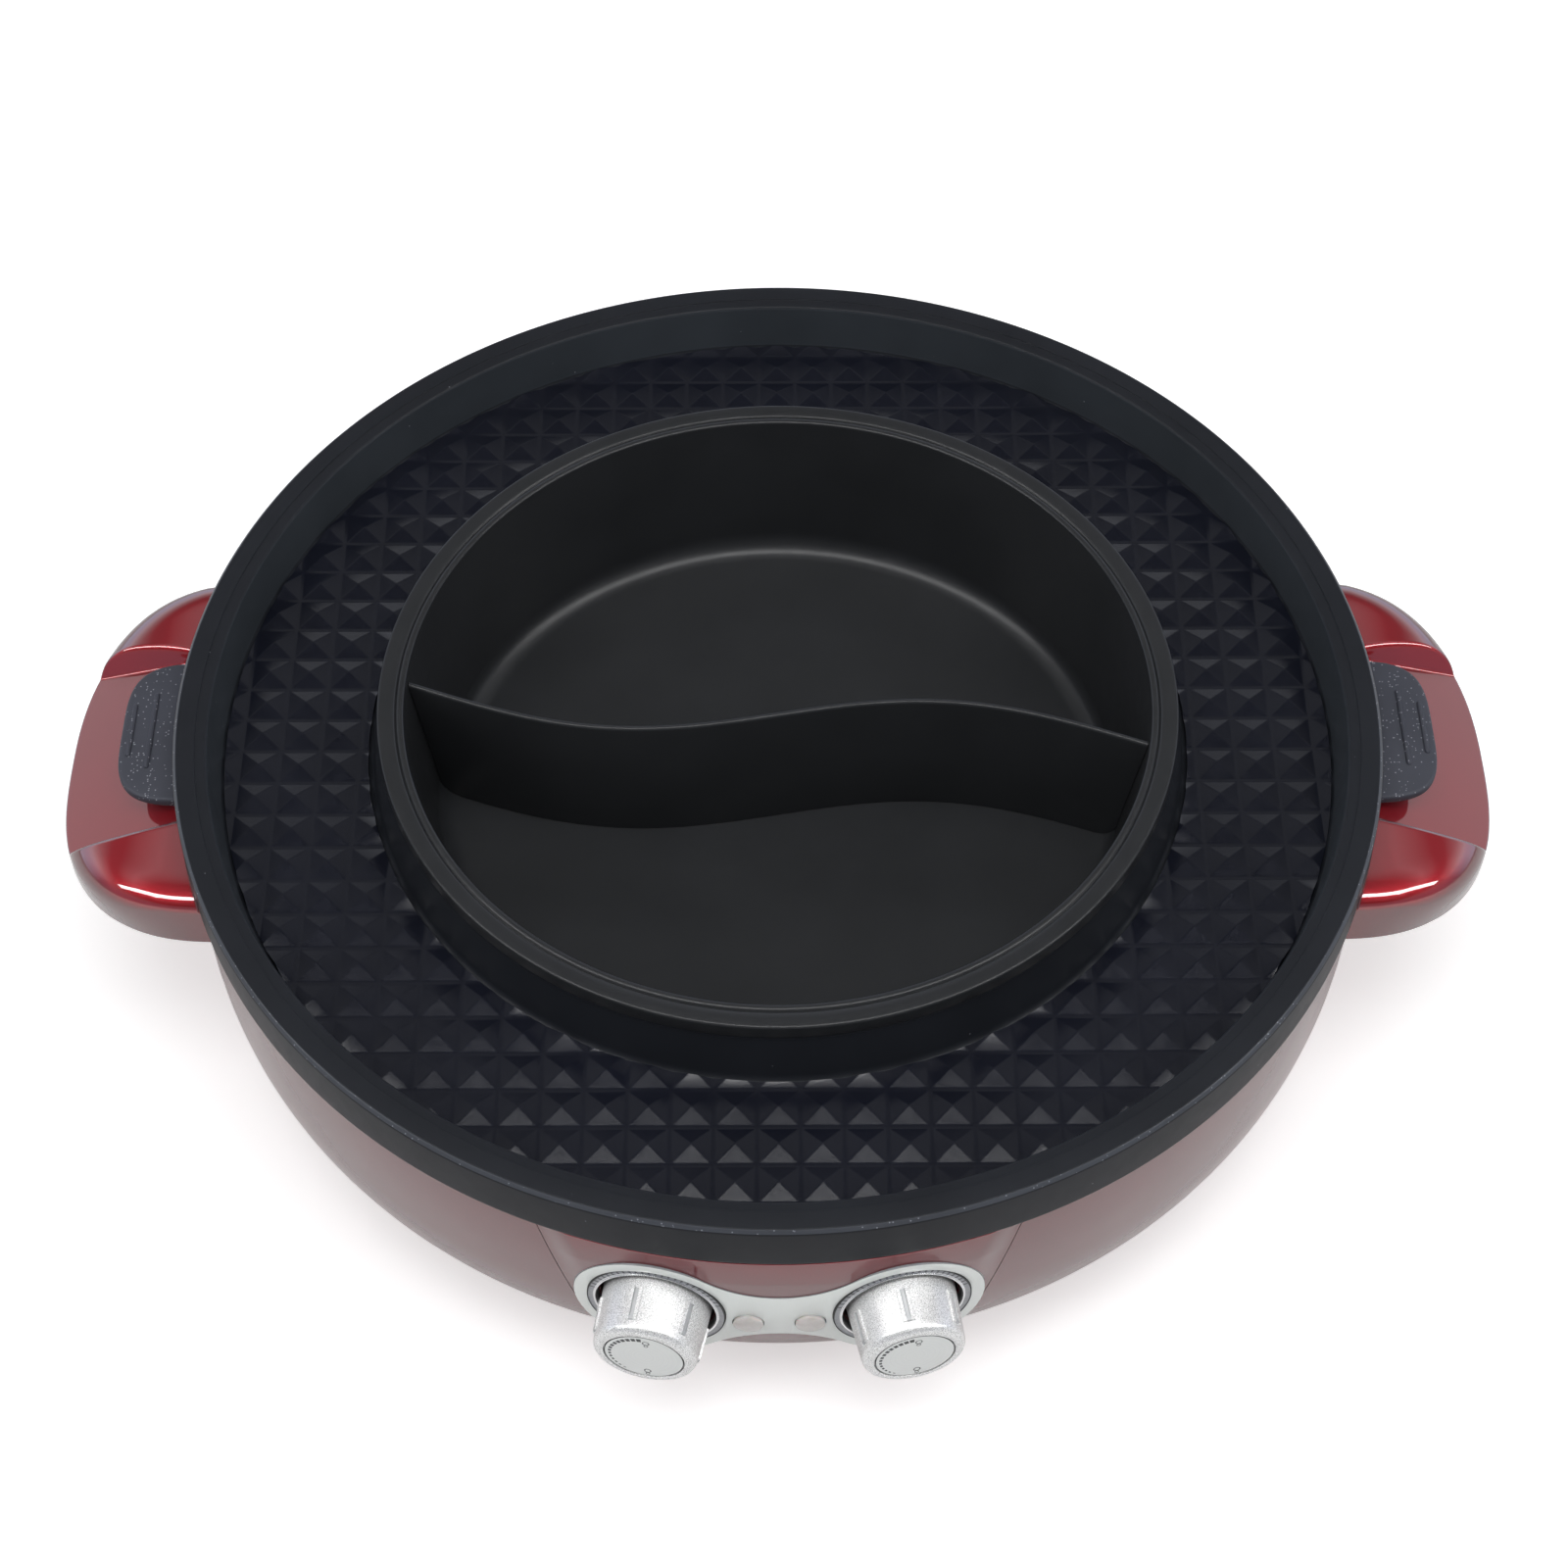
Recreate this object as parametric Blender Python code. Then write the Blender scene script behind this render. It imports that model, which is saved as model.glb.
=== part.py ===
# Hot pot and grill combo: a round electric base with a ring-shaped grill pan and a divided hot pot.
# All sizes are in metres. +Z is up, the front with the two knobs faces -Y, the feet stand on z = 0.

import bpy
import bmesh
from math import asin, atan2, cos, hypot, pi, radians, sin, sqrt
from mathutils import Vector
from mathutils.geometry import interpolate_bezier

# Clearances
SEAT_GAP = 0.0003
RUNNING_GAP = 0.0003
OVERRUN = 0.004

# Hot pot
POT_MOUTH_RADIUS = 0.139
POT_WALL = 0.0024
POT_TAPER = 0.005
POT_CORNER = 0.011
POT_FLOOR_THICKNESS = 0.0035
POT_FLANGE_WIDTH = 0.01
POT_FLANGE_ABOVE_RIM = 0.006
POT_FLANGE_EDGE = 0.001
POT_BEAD_WIDTH = 0.0028
POT_BEAD_GROOVE = 0.0009
DIVIDER_THICKNESS = 0.0024
DIVIDER_BELOW_MOUTH = 0.0025
DIVIDER_WAVE = 0.0123
DIVIDER_OFFSET = -0.008
DIVIDER_LEAN_SHARE = -0.1

# Grill pan
PAN_HEIGHT = 0.024
PAN_TO_POT_GAP = 0.0022
PAN_COLLAR_WIDTH = 0.0046
PAN_COLLAR_SPREAD = 0.0046
PAN_COLLAR_BELOW_RIM = 0.001
PAN_CHANNEL_WIDTH = 0.0566
PAN_FLOOR_THICKNESS = 0.004
PAN_GROOVE_WIDTH = 0.005
PAN_GROOVE_DEPTH = 0.0012
PAN_WALL_FILLET = 0.002
PAN_WALL_SPREAD = 0.003
PAN_LEDGE_WIDTH = 0.0043
PAN_RIM_WIDTH = 0.0083
PAN_RIM_STEP = 0.0005
PAN_RIM_CHAMFER = 0.0016
PAN_SKIRT_TAPER = 0.002
PAN_SKIRT_TAPER_HEIGHT = 0.003
PAN_RIB_INSET = 0.001
PAN_RIB_WIDTH = 0.003
PAN_RIB_HEIGHT = 0.002
EAR_PROJECTION = 0.023
EAR_OVERLAP = 0.011
EAR_HALF_WIDTH = 0.0335
EAR_ABOVE_BASE = 0.0035
EAR_THICKNESS = 0.004
EAR_POWER = 3.1
EAR_BEAD_PLACE_SHARES = (0.51, 0.84)
EAR_BEAD_LENGTH_SHARES = (0.54, 0.376)
EAR_BEAD_WIDTH = 0.0018
EAR_BEAD_HEIGHT = 0.0008

# Housing bowl
HOUSING_HEIGHT = 0.0932
HOUSING_LIP_ABOVE_BELLY = 0.0282
HOUSING_INSIDE_PAN = 0.0016
HOUSING_LIP_INSET = 0.0016
HOUSING_LIP_WIDTH = 0.0118
HOUSING_WALL = 0.0025
HOUSING_SPREAD = 0.0454
HOUSING_FLAT_WIDTH = 0.028
HOUSING_DROP_POWER = 2.9
HOUSING_SPREAD_POWER = 2.0

# Knobs
KNOB_BELOW_LIP = 0.0347
KNOB_BASE_RADIUS = 0.0194
KNOB_TAPER = 0.0014
KNOB_LENGTH = 0.0253
KNOB_BEHIND_RING = 0.0026
KNOB_FRONT_FILLET = 0.003
KNOB_WALL = 0.002
KNOB_FACE_THICKNESS = 0.0036
KNOB_HUB_RADIUS = 0.0065
KNOB_RIB_COUNT = 6
KNOB_RIB_HEIGHT = 0.0007
KNOB_RIB_FROM_BACK = 0.0055
KNOB_RIB_FROM_FACE = 0.0055
CAP_INSET = 0.0041
CAP_THICKNESS = 0.0006
CAP_RECESS = 0.0008
SHAFT_RADIUS = 0.003
SHAFT_FLAT = 0.0022
SHAFT_FLAT_LENGTH = 0.015

# Dial rings and indicator lamps
KNOB_TO_FASCIA_GAP = 0.001
KNOB_TO_RING_GAP = 0.0014
RING_WIDTH = 0.0036
RING_THICKNESS = 0.0026
RING_BELOW_TRIM = 0.001
LAMP_BELOW_KNOBS = 0.0039
LAMP_HALF_SPACING = 0.01075
LAMP_TO_RING_GAP = 0.0022
LENS_RADIUS = 0.00525
LENS_DOME = 0.0006
LENS_HEAD = 0.0014
LENS_STEM_RADIUS = 0.0039
LAMP_RADIUS = 0.0036
LAMP_COLLAR_RADIUS = 0.005
LAMP_COLLAR_THICKNESS = 0.002
LAMP_LENGTH = 0.012

# Front fascia and the plate on it
FASCIA_SIDE_MARGIN = 0.0023
FASCIA_BELOW_KNOBS = 0.039
FASCIA_SLOPE_SHARE = 0.278
FASCIA_SEAM = 0.00035
FASCIA_PAD_RISE = 0.0002
FASCIA_PAD_MARGIN = 0.0005
FASCIA_POST_RADIUS = 0.0042
FASCIA_POST_SPACING = 0.034
TRIM_THICKNESS = 0.0013
TRIM_END_MARGIN = 0.0041
TRIM_WAIST_ABOVE = 0.0138
TRIM_WAIST_BELOW = 0.0114

# Thermostats and their bracket
BRACKET_INSIDE_BELLY = 0.0124
BRACKET_THICKNESS = 0.0015
BRACKET_HALF_ANGLE = radians(16)
BRACKET_HEIGHT = 0.046
THERMOSTAT_RADIUS = 0.014
THERMOSTAT_DEPTH = 0.018
BUSHING_RADIUS = 0.005
BUSHING_REACH = 0.0065
SHAFT_SEAT_DEPTH = 0.008
NUT_ACROSS_CORNERS = 0.016
NUT_THICKNESS = 0.003

# Wing handles
WING_PROJECTION = 0.0479
WING_OVERLAP = 0.0184
WING_HALF_WIDTH = 0.079
WING_POWER = 2.6
WING_TOP_ABOVE_LIP = 0.0048
WING_TOP_FALL = 0.013
WING_EDGE_BELOW_LIP = 0.0014
WING_EDGE_FALL = 0.0153
WING_BOTTOM_BELOW_LIP = 0.0187
WING_ROUND = 0.012
WING_WALL = 0.004
WING_INNER_WALL = 0.0095
WING_TONGUE_WALL = 0.003
TONGUE_HALF_WIDTH = 0.0432
TONGUE_ROOT_HALF_WIDTH = 0.0375
TONGUE_LEAN_SHARE = 0.57
TONGUE_DROP = 0.0145
TONGUE_FROM_PAN = 0.003
TONGUE_FROM_REACH = 0.0033
PAN_TO_WING_GAP = 0.0006

# Screws
SMALL_SCREW_RADIUS = 0.0017
SMALL_HEAD_RADIUS = 0.0035
SMALL_HEAD_HEIGHT = 0.002
HANDLE_SCREW_LENGTH = 0.0085
HANDLE_SCREW_PLACE = 0.028
HANDLE_SCREW_BELOW_LIP = 0.0142
BRACKET_SCREW_LENGTH = 0.0075
COVER_SCREW_LENGTH = 0.0042

# Heat shield
SHIELD_THICKNESS = 0.001
SHIELD_SIDE_GAP = 0.0018
SHIELD_WALL_INSET = 0.0055
SHIELD_DISH_BELOW_LIP = 0.0187
SHIELD_WELL_GAP = 0.017
SHIELD_WELL_ABOVE_BASE = 0.0275
SHIELD_HOLE_MARGIN = 0.012

# Heating parts
ELEMENT_RADIUS = 0.0035
GRILL_ELEMENT_ABOVE_DISH = 0.013
GRILL_ELEMENT_END_BELOW_DISH = 0.013
GRILL_ELEMENT_END_ANGLE = radians(8)
SADDLE_COUNT = 3
SADDLE_LENGTH = 0.012
SADDLE_WIDTH = 0.008
SADDLE_TOP_BELOW_ELEMENT = 0.001
HOT_PLATE_MARGIN = 0.014
HOT_PLATE_ABOVE_WELL = 0.0267
HOT_PLATE_THICKNESS = 0.0097
HOT_PLATE_BORE = 0.012
POT_ELEMENT_END_RADIUS = 0.028
POT_ELEMENT_LEG = 0.03
POT_ELEMENT_END_BELOW_WELL = 0.01
POT_ELEMENT_END_ANGLE = radians(14)
POST_COUNT = 3
POST_RADIUS = 0.005
POST_FROM_ELEMENT = 0.02
SENSOR_RADIUS = 0.0115
SENSOR_FLANGE_RADIUS = 0.016
SENSOR_FLANGE = 0.0024
SENSOR_LENGTH = 0.022

# Base
COVER_THICKNESS = 0.0015
COVER_LAP = 0.018
VENT_COUNT = 6
VENT_LENGTH = 0.036
VENT_WIDTH = 0.004
VENT_SPACING = 0.011
FOOT_HEIGHT = 0.0084
FOOT_INSIDE_OPENING = 0.012
FOOT_TOP_RADIUS = 0.013
FOOT_BOTTOM_RADIUS = 0.011
FOOT_PEG_RADIUS = 0.004
FOOT_PEG_ABOVE_COVER = 0.002

# Power inlet at the back, terminal block and wires
INLET_BELOW_LIP = 0.0317
INLET_SOCKET_WIDTH = 0.024
INLET_SOCKET_HEIGHT = 0.0164
INLET_SOCKET_DEPTH = 0.0165
INLET_WALL = 0.0018
INLET_BODY_DEPTH = 0.026
INLET_FLANGE_SIDE = 0.0042
INLET_FLANGE_EDGE = 0.00325
INLET_FLANGE_THICKNESS = 0.0024
PIN_WIDTH = 0.002
PIN_HEIGHT = 0.004
PIN_BELOW_FACE = 0.003
PIN_TAIL = 0.006
PIN_SPACING = 0.007
PIN_RISE = 0.0015
BLOCK_LENGTH = 0.044
BLOCK_WIDTH = 0.02
BLOCK_HEIGHT = 0.014
BLOCK_INSIDE_FEET = 0.033
WIRE_RADIUS = 0.0013
WIRE_STANDOFF = 0.004
WIRE_POINT_SPACING = 0.013

# Facet counts
ROUND_STEPS = 48
FINE_STEPS = 96
KNOB_STEPS = 36
SMALL_STEPS = 16
SCREW_STEPS = 12
WING_STEPS = 22
CURVE_STEPS = 6
LIP_STEPS = 2
GRILL_RING_POINTS = 56
POT_RING_POINTS = 32
TUBE_SIDES = 1

# Pan and pot radii, from the pot's mouth outward
POT_BASE_RADIUS = POT_MOUTH_RADIUS - POT_TAPER
POT_FLANGE_RADIUS = POT_MOUTH_RADIUS + POT_FLANGE_WIDTH
PAN_COLLAR_BORE_RADIUS = POT_MOUTH_RADIUS + POT_WALL + PAN_TO_POT_GAP
PAN_COLLAR_TOP_RADIUS = PAN_COLLAR_BORE_RADIUS + PAN_COLLAR_WIDTH
PAN_COLLAR_FOOT_RADIUS = PAN_COLLAR_TOP_RADIUS + PAN_COLLAR_SPREAD
PAN_WALL_FOOT_RADIUS = PAN_COLLAR_FOOT_RADIUS + PAN_CHANNEL_WIDTH
PAN_WALL_TOP_RADIUS = PAN_WALL_FOOT_RADIUS + PAN_WALL_SPREAD
PAN_RIM_STEP_RADIUS = PAN_WALL_TOP_RADIUS + PAN_LEDGE_WIDTH
PAN_RADIUS = PAN_RIM_STEP_RADIUS + PAN_RIM_WIDTH
PAN_SKIRT_RADIUS = PAN_RADIUS - PAN_SKIRT_TAPER
EAR_ROOT = PAN_RADIUS - EAR_OVERLAP
EAR_REACH = PAN_RADIUS + EAR_PROJECTION

# Housing radii, from the pan's inward
HOUSING_BELLY_RADIUS = PAN_RADIUS - HOUSING_INSIDE_PAN
HOUSING_LIP_RADIUS = HOUSING_BELLY_RADIUS - HOUSING_LIP_INSET
HOUSING_LIP_BORE = HOUSING_LIP_RADIUS - HOUSING_LIP_WIDTH
HOUSING_FLAT_RADIUS = HOUSING_BELLY_RADIUS - HOUSING_SPREAD
HOUSING_OPENING_RADIUS = HOUSING_FLAT_RADIUS - HOUSING_FLAT_WIDTH
PAN_RIB_RADIUS = HOUSING_LIP_BORE - PAN_RIB_INSET
COVER_RADIUS = HOUSING_OPENING_RADIUS + COVER_LAP
COVER_SCREW_RING = HOUSING_OPENING_RADIUS + COVER_LAP / 2
FOOT_RING = HOUSING_OPENING_RADIUS - FOOT_INSIDE_OPENING
BLOCK_PLACE = FOOT_RING - BLOCK_INSIDE_FEET
WING_ROOT = HOUSING_BELLY_RADIUS - WING_OVERLAP
WING_REACH = HOUSING_BELLY_RADIUS + WING_PROJECTION
TONGUE_INNER_PLACE = PAN_RADIUS + TONGUE_FROM_PAN
TONGUE_OUTER_PLACE = WING_REACH - TONGUE_FROM_REACH

# Heating parts' radii
SHIELD_FLANGE_RADIUS = HOUSING_LIP_RADIUS - HOUSING_WALL - SHIELD_SIDE_GAP
SHIELD_WALL_RADIUS = HOUSING_LIP_BORE - SHIELD_WALL_INSET
SHIELD_WELL_RADIUS = POT_BASE_RADIUS + SHIELD_WELL_GAP
SHIELD_HOLE_RADIUS = POT_ELEMENT_END_RADIUS + SHIELD_HOLE_MARGIN
GRILL_ELEMENT_RING = (PAN_COLLAR_FOOT_RADIUS + PAN_WALL_FOOT_RADIUS) / 2
POT_ELEMENT_RING = POT_ELEMENT_END_RADIUS + POT_ELEMENT_LEG
POST_RING = POT_ELEMENT_RING + POST_FROM_ELEMENT
HOT_PLATE_RADIUS = POST_RING + HOT_PLATE_MARGIN

# Heights, from the table upward
COVER_Z = FOOT_HEIGHT + SEAT_GAP
HOUSING_BASE_Z = COVER_Z + COVER_THICKNESS + SEAT_GAP
HOUSING_LIP_Z = HOUSING_BASE_Z + HOUSING_HEIGHT
HOUSING_BELLY_Z = HOUSING_LIP_Z - HOUSING_LIP_ABOVE_BELLY
PAN_BASE_Z = HOUSING_LIP_Z + SEAT_GAP
PAN_FLOOR_Z = PAN_BASE_Z + PAN_FLOOR_THICKNESS
PAN_RIM_Z = PAN_BASE_Z + PAN_HEIGHT
PAN_COLLAR_Z = PAN_RIM_Z - PAN_COLLAR_BELOW_RIM
EAR_TOP_Z = PAN_BASE_Z + EAR_ABOVE_BASE + EAR_THICKNESS
POT_FLANGE_Z = PAN_RIM_Z + POT_FLANGE_ABOVE_RIM
SHIELD_WELL_Z = HOUSING_BASE_Z + SHIELD_WELL_ABOVE_BASE
SHIELD_DISH_Z = HOUSING_LIP_Z - SHIELD_DISH_BELOW_LIP
GRILL_ELEMENT_Z = SHIELD_DISH_Z + GRILL_ELEMENT_ABOVE_DISH
HOT_PLATE_Z = SHIELD_WELL_Z + SHIELD_THICKNESS + HOT_PLATE_ABOVE_WELL
POT_BASE_Z = HOT_PLATE_Z + SEAT_GAP
KNOB_Z = HOUSING_LIP_Z - KNOB_BELOW_LIP
LAMP_Z = KNOB_Z - LAMP_BELOW_KNOBS
INLET_Z = HOUSING_LIP_Z - INLET_BELOW_LIP
HANDLE_SCREW_Z = HOUSING_LIP_Z - HANDLE_SCREW_BELOW_LIP
WING_TOP_Z = HOUSING_LIP_Z + WING_TOP_ABOVE_LIP
WING_EDGE_Z = HOUSING_LIP_Z - WING_EDGE_BELOW_LIP
WING_BOTTOM_Z = HOUSING_LIP_Z - WING_BOTTOM_BELOW_LIP
TONGUE_INNER_Z = PAN_BASE_Z

# Controls: distances from the pan's axis, then places across the front
FASCIA_PAD_RADIUS = HOUSING_BELLY_RADIUS + FASCIA_PAD_RISE
TRIM_RADIUS = FASCIA_PAD_RADIUS + SEAT_GAP + TRIM_THICKNESS
RING_FRONT = TRIM_RADIUS - RING_BELOW_TRIM
RING_BACK = RING_FRONT - RING_THICKNESS
KNOB_BACK = RING_BACK - KNOB_BEHIND_RING
KNOB_FACE = KNOB_BACK + KNOB_LENGTH
KNOB_FRONT_RADIUS = KNOB_BASE_RADIUS - KNOB_TAPER
CAP_RADIUS = KNOB_FRONT_RADIUS - CAP_INSET
KNOB_BORE_IN_FASCIA = KNOB_BASE_RADIUS + KNOB_TO_FASCIA_GAP
RING_BORE = KNOB_BASE_RADIUS + KNOB_TO_RING_GAP
RING_RADIUS = RING_BORE + RING_WIDTH
TRIM_END_RADIUS = RING_RADIUS + TRIM_END_MARGIN
KNOB_HALF_SPACING = LAMP_HALF_SPACING + LENS_RADIUS + LAMP_TO_RING_GAP + RING_RADIUS
KNOB_ANGLE = asin(KNOB_HALF_SPACING / TRIM_RADIUS)
LAMP_ANGLE = asin(LAMP_HALF_SPACING / TRIM_RADIUS)
FASCIA_HALF_WIDTH = KNOB_HALF_SPACING + TRIM_END_RADIUS + FASCIA_SIDE_MARGIN
BRACKET_RADIUS = HOUSING_BELLY_RADIUS - BRACKET_INSIDE_BELLY
THERMOSTAT_FRONT = BRACKET_RADIUS * cos(asin(THERMOSTAT_RADIUS / BRACKET_RADIUS)) - SEAT_GAP

# Power inlet's outer sizes
INLET_FACE = HOUSING_BELLY_RADIUS + SEAT_GAP + INLET_FLANGE_THICKNESS
INLET_BODY_WIDTH = INLET_SOCKET_WIDTH + 2 * INLET_WALL
INLET_BODY_HEIGHT = INLET_SOCKET_HEIGHT + 2 * INLET_WALL
INLET_FLANGE_WIDTH = INLET_BODY_WIDTH + 2 * INLET_FLANGE_SIDE
INLET_FLANGE_HEIGHT = INLET_BODY_HEIGHT + 2 * INLET_FLANGE_EDGE

# The pan's axis lies back from the origin, midway between the knobs' faces and the inlet's face
KNOB_FILLET_SHARE = KNOB_FRONT_FILLET / KNOB_LENGTH
KNOB_FACE_EDGE = KNOB_FRONT_RADIUS + KNOB_TAPER * KNOB_FILLET_SHARE - KNOB_FRONT_FILLET
FRONT_REACH = KNOB_FACE * cos(KNOB_ANGLE) + KNOB_FACE_EDGE * sin(KNOB_ANGLE)
AXIS_Y = (FRONT_REACH - INLET_FACE) / 2

# Colours as red, green, blue
RED = (0.19, 0.012, 0.02)
SILVER = (0.60, 0.62, 0.61)
KNOB_METAL = (0.72, 0.73, 0.74)
SMOKE = (0.10, 0.11, 0.12)
COATING = (0.018, 0.019, 0.022)
STEEL = (0.50, 0.50, 0.50)
BLACK = (0.02, 0.02, 0.02)
LENS_CLEAR = (0.72, 0.70, 0.68)
BRASS = (0.62, 0.45, 0.18)
CERAMIC = (0.75, 0.72, 0.65)
COPPER_RED = (0.45, 0.03, 0.02)


def clear_scene():
    for item in list(bpy.data.objects):
        bpy.data.objects.remove(item, do_unlink=True)


def material(name, colour, roughness, metallic=0.0):
    made = bpy.data.materials.new(name)
    made.use_nodes = True
    shader = made.node_tree.nodes["Principled BSDF"]
    shader.inputs["Base Color"].default_value = (*colour, 1)
    shader.inputs["Roughness"].default_value = roughness
    shader.inputs["Metallic"].default_value = metallic
    return made


def empty(name, parent=None, location=(0, 0, 0), rotation=(0, 0, 0)):
    made = bpy.data.objects.new(name, None)
    bpy.context.collection.objects.link(made)
    made.parent = parent
    made.location = location
    made.rotation_euler = rotation
    return made


def front_frame(name, parent, angle, height):
    # Local Z points outward at this angle from the front, local Y points up
    return empty(name, parent, (0, 0, height), (radians(90), 0, angle))


def add_object(name, mesh_data, parent, finish=None):
    bmesh.ops.recalc_face_normals(mesh_data, faces=mesh_data.faces)
    mesh = bpy.data.meshes.new(name)
    mesh_data.to_mesh(mesh)
    mesh_data.free()
    mesh.shade_smooth()
    mesh.set_sharp_from_angle(angle=radians(35))
    made = bpy.data.objects.new(name, mesh)
    bpy.context.collection.objects.link(made)
    made.parent = parent
    if finish:
        mesh.materials.append(material(name, *finish))
    else:
        made.hide_render = True
        made.display_type = "WIRE"
    return made


def boolean(target, tool, operation="DIFFERENCE"):
    step = target.modifiers.new(operation.lower(), "BOOLEAN")
    step.operation = operation
    step.object = tool
    step.solver = "EXACT"


def turned(profile, steps=ROUND_STEPS, bump=None, phase=0):
    # A closed outline of (radius, height) points, spun round local Z
    data = bmesh.new()
    rings = []
    for radius, height in profile:
        if radius == 0:
            rings.append([data.verts.new((0, 0, height))] * steps)
            continue
        ring = []
        for step in range(steps):
            reach = radius + (bump(radius, height, step) if bump else 0)
            turn = 2 * pi * (step + phase) / steps
            ring.append(data.verts.new((reach * cos(turn), reach * sin(turn), height)))
        rings.append(ring)
    for first, second in zip(rings, rings[1:] + rings[:1]):
        for step in range(steps):
            after = (step + 1) % steps
            corners = [first[step], first[after], second[after], second[step]]
            corners = list(dict.fromkeys(corners))
            if len(corners) > 2:
                data.faces.new(corners)
    return data


def prism(outline, low, high, lift=None):
    # An outline of (x, y) points, drawn out along local Z; lift(x, y) can shape the top
    data = bmesh.new()
    bottom = [data.verts.new((x, y, low)) for x, y in outline]
    top = [data.verts.new((x, y, lift(x, y) if lift else high)) for x, y in outline]
    data.faces.new(bottom)
    data.faces.new(top)
    for index in range(len(outline)):
        after = (index + 1) % len(outline)
        data.faces.new((bottom[index], bottom[after], top[after], top[index]))
    return data


def rod(radius, low, high, steps=SMALL_STEPS, centre=(0, 0)):
    outline = []
    for step in range(steps):
        turn = 2 * pi * (step + 0.5) / steps
        outline.append((centre[0] + radius * cos(turn), centre[1] + radius * sin(turn)))
    return prism(outline, low, high)


def block(low, high):
    outline = ((low[0], low[1]), (high[0], low[1]), (high[0], high[1]), (low[0], high[1]))
    return prism(outline, low[2], high[2])


def front_prism(outline, near, far):
    # An outline of (x, z) points seen from the front, drawn out from y = -near to y = -far
    data = bmesh.new()
    near_side = [data.verts.new((x, -near, z)) for x, z in outline]
    far_side = [data.verts.new((x, -far, z)) for x, z in outline]
    data.faces.new(near_side)
    data.faces.new(far_side)
    for index in range(len(outline)):
        after = (index + 1) % len(outline)
        data.faces.new((near_side[index], near_side[after], far_side[after], far_side[index]))
    return data


def tube(name, points, radius, parent, finish):
    curve = bpy.data.curves.new(name, "CURVE")
    curve.dimensions = "3D"
    curve.bevel_depth = radius
    curve.bevel_resolution = TUBE_SIDES
    curve.use_fill_caps = True
    spline = curve.splines.new("POLY")
    spline.points.add(len(points) - 1)
    for place, point in zip(spline.points, points):
        place.co = (*point, 1)
    curve.materials.append(material(name, *finish))
    made = bpy.data.objects.new(name, curve)
    bpy.context.collection.objects.link(made)
    made.parent = parent
    return made


def arc(centre, radius, start, end, steps=CURVE_STEPS):
    points = []
    for step in range(steps + 1):
        turn = start + (end - start) * step / steps
        points.append((centre[0] + radius * cos(turn), centre[1] + radius * sin(turn)))
    return points


def smooth_route(points):
    # A curve through the points that leaves and meets its ends straight
    places = [Vector(point) for point in points]
    ways = [(after - before).normalized()
            for before, after in zip(places[:1] + places[:-1], places[1:] + places[-1:])]
    route = [places[0]]
    for index in range(len(places) - 1):
        start, end = places[index], places[index + 1]
        length = (end - start).length
        count = max(1, round(length / WIRE_POINT_SPACING))
        span = interpolate_bezier(start, start + ways[index] * length / 3,
                                  end - ways[index + 1] * length / 3, end, count + 1)
        route += span[1:]
    return route


def outward(angle, distance):
    # Plan position at this angle from the front and this distance from the pan's axis
    return (distance * sin(angle), -distance * cos(angle))


# Housing

def housing_curve(inset):
    # The bowl's side from the lip down to the base, moved in by the inset
    points = []
    for step in range(LIP_STEPS):
        share = 1 - step / LIP_STEPS
        height = HOUSING_BELLY_Z + (HOUSING_LIP_Z - HOUSING_BELLY_Z) * share
        points.append((HOUSING_BELLY_RADIUS - inset
                       - (HOUSING_BELLY_RADIUS - HOUSING_LIP_RADIUS) * share**2, height))
    drop = HOUSING_BELLY_Z - HOUSING_BASE_Z - inset
    spread = HOUSING_BELLY_RADIUS - HOUSING_FLAT_RADIUS - inset
    for step in range(CURVE_STEPS + 1):
        turn = pi / 2 * step / CURVE_STEPS
        down = sin(turn)**(2 / HOUSING_DROP_POWER)
        out = cos(turn)**(2 / HOUSING_SPREAD_POWER) if step < CURVE_STEPS else 0
        points.append((HOUSING_FLAT_RADIUS + spread * out, HOUSING_BELLY_Z - drop * down))
    return points


def housing_radius(height):
    # Outer radius of the bowl at a height at or above the belly
    share = (height - HOUSING_BELLY_Z) / (HOUSING_LIP_Z - HOUSING_BELLY_Z)
    return HOUSING_BELLY_RADIUS - (HOUSING_BELLY_RADIUS - HOUSING_LIP_RADIUS) * share**2


def housing_profile():
    outer = housing_curve(0)
    inner = housing_curve(HOUSING_WALL)[1:]
    lip_under = HOUSING_LIP_Z - HOUSING_WALL
    profile = outer + [(HOUSING_OPENING_RADIUS, HOUSING_BASE_Z),
                       (HOUSING_OPENING_RADIUS, HOUSING_BASE_Z + HOUSING_WALL)]
    profile += reversed(inner)
    profile += [(HOUSING_LIP_RADIUS - HOUSING_WALL, lip_under), (HOUSING_LIP_BORE, lip_under),
                (HOUSING_LIP_BORE, HOUSING_LIP_Z)]
    return profile


def fascia_outline(inset):
    low = KNOB_Z - FASCIA_BELOW_KNOBS + inset
    high = HOUSING_LIP_Z + OVERRUN
    bottom = FASCIA_HALF_WIDTH - inset - FASCIA_SLOPE_SHARE * (KNOB_Z - low)
    top = bottom + FASCIA_SLOPE_SHARE * (high - low)
    return ((-bottom, low), (bottom, low), (top, high), (-top, high))


def waist_arc(end_x, middle_z, waist, end_radius, side):
    # The hollow arc between the plate's two round ends, tangent to both
    radius = (end_x**2 + waist**2 - end_radius**2) / (2 * (end_radius - waist))
    lean = atan2(end_x, waist + radius)
    centre = (0, middle_z + side * (waist + radius))
    start = -side * pi / 2 - lean
    return arc(centre, radius, start, start + 2 * lean, CURVE_STEPS - 1), lean


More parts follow.
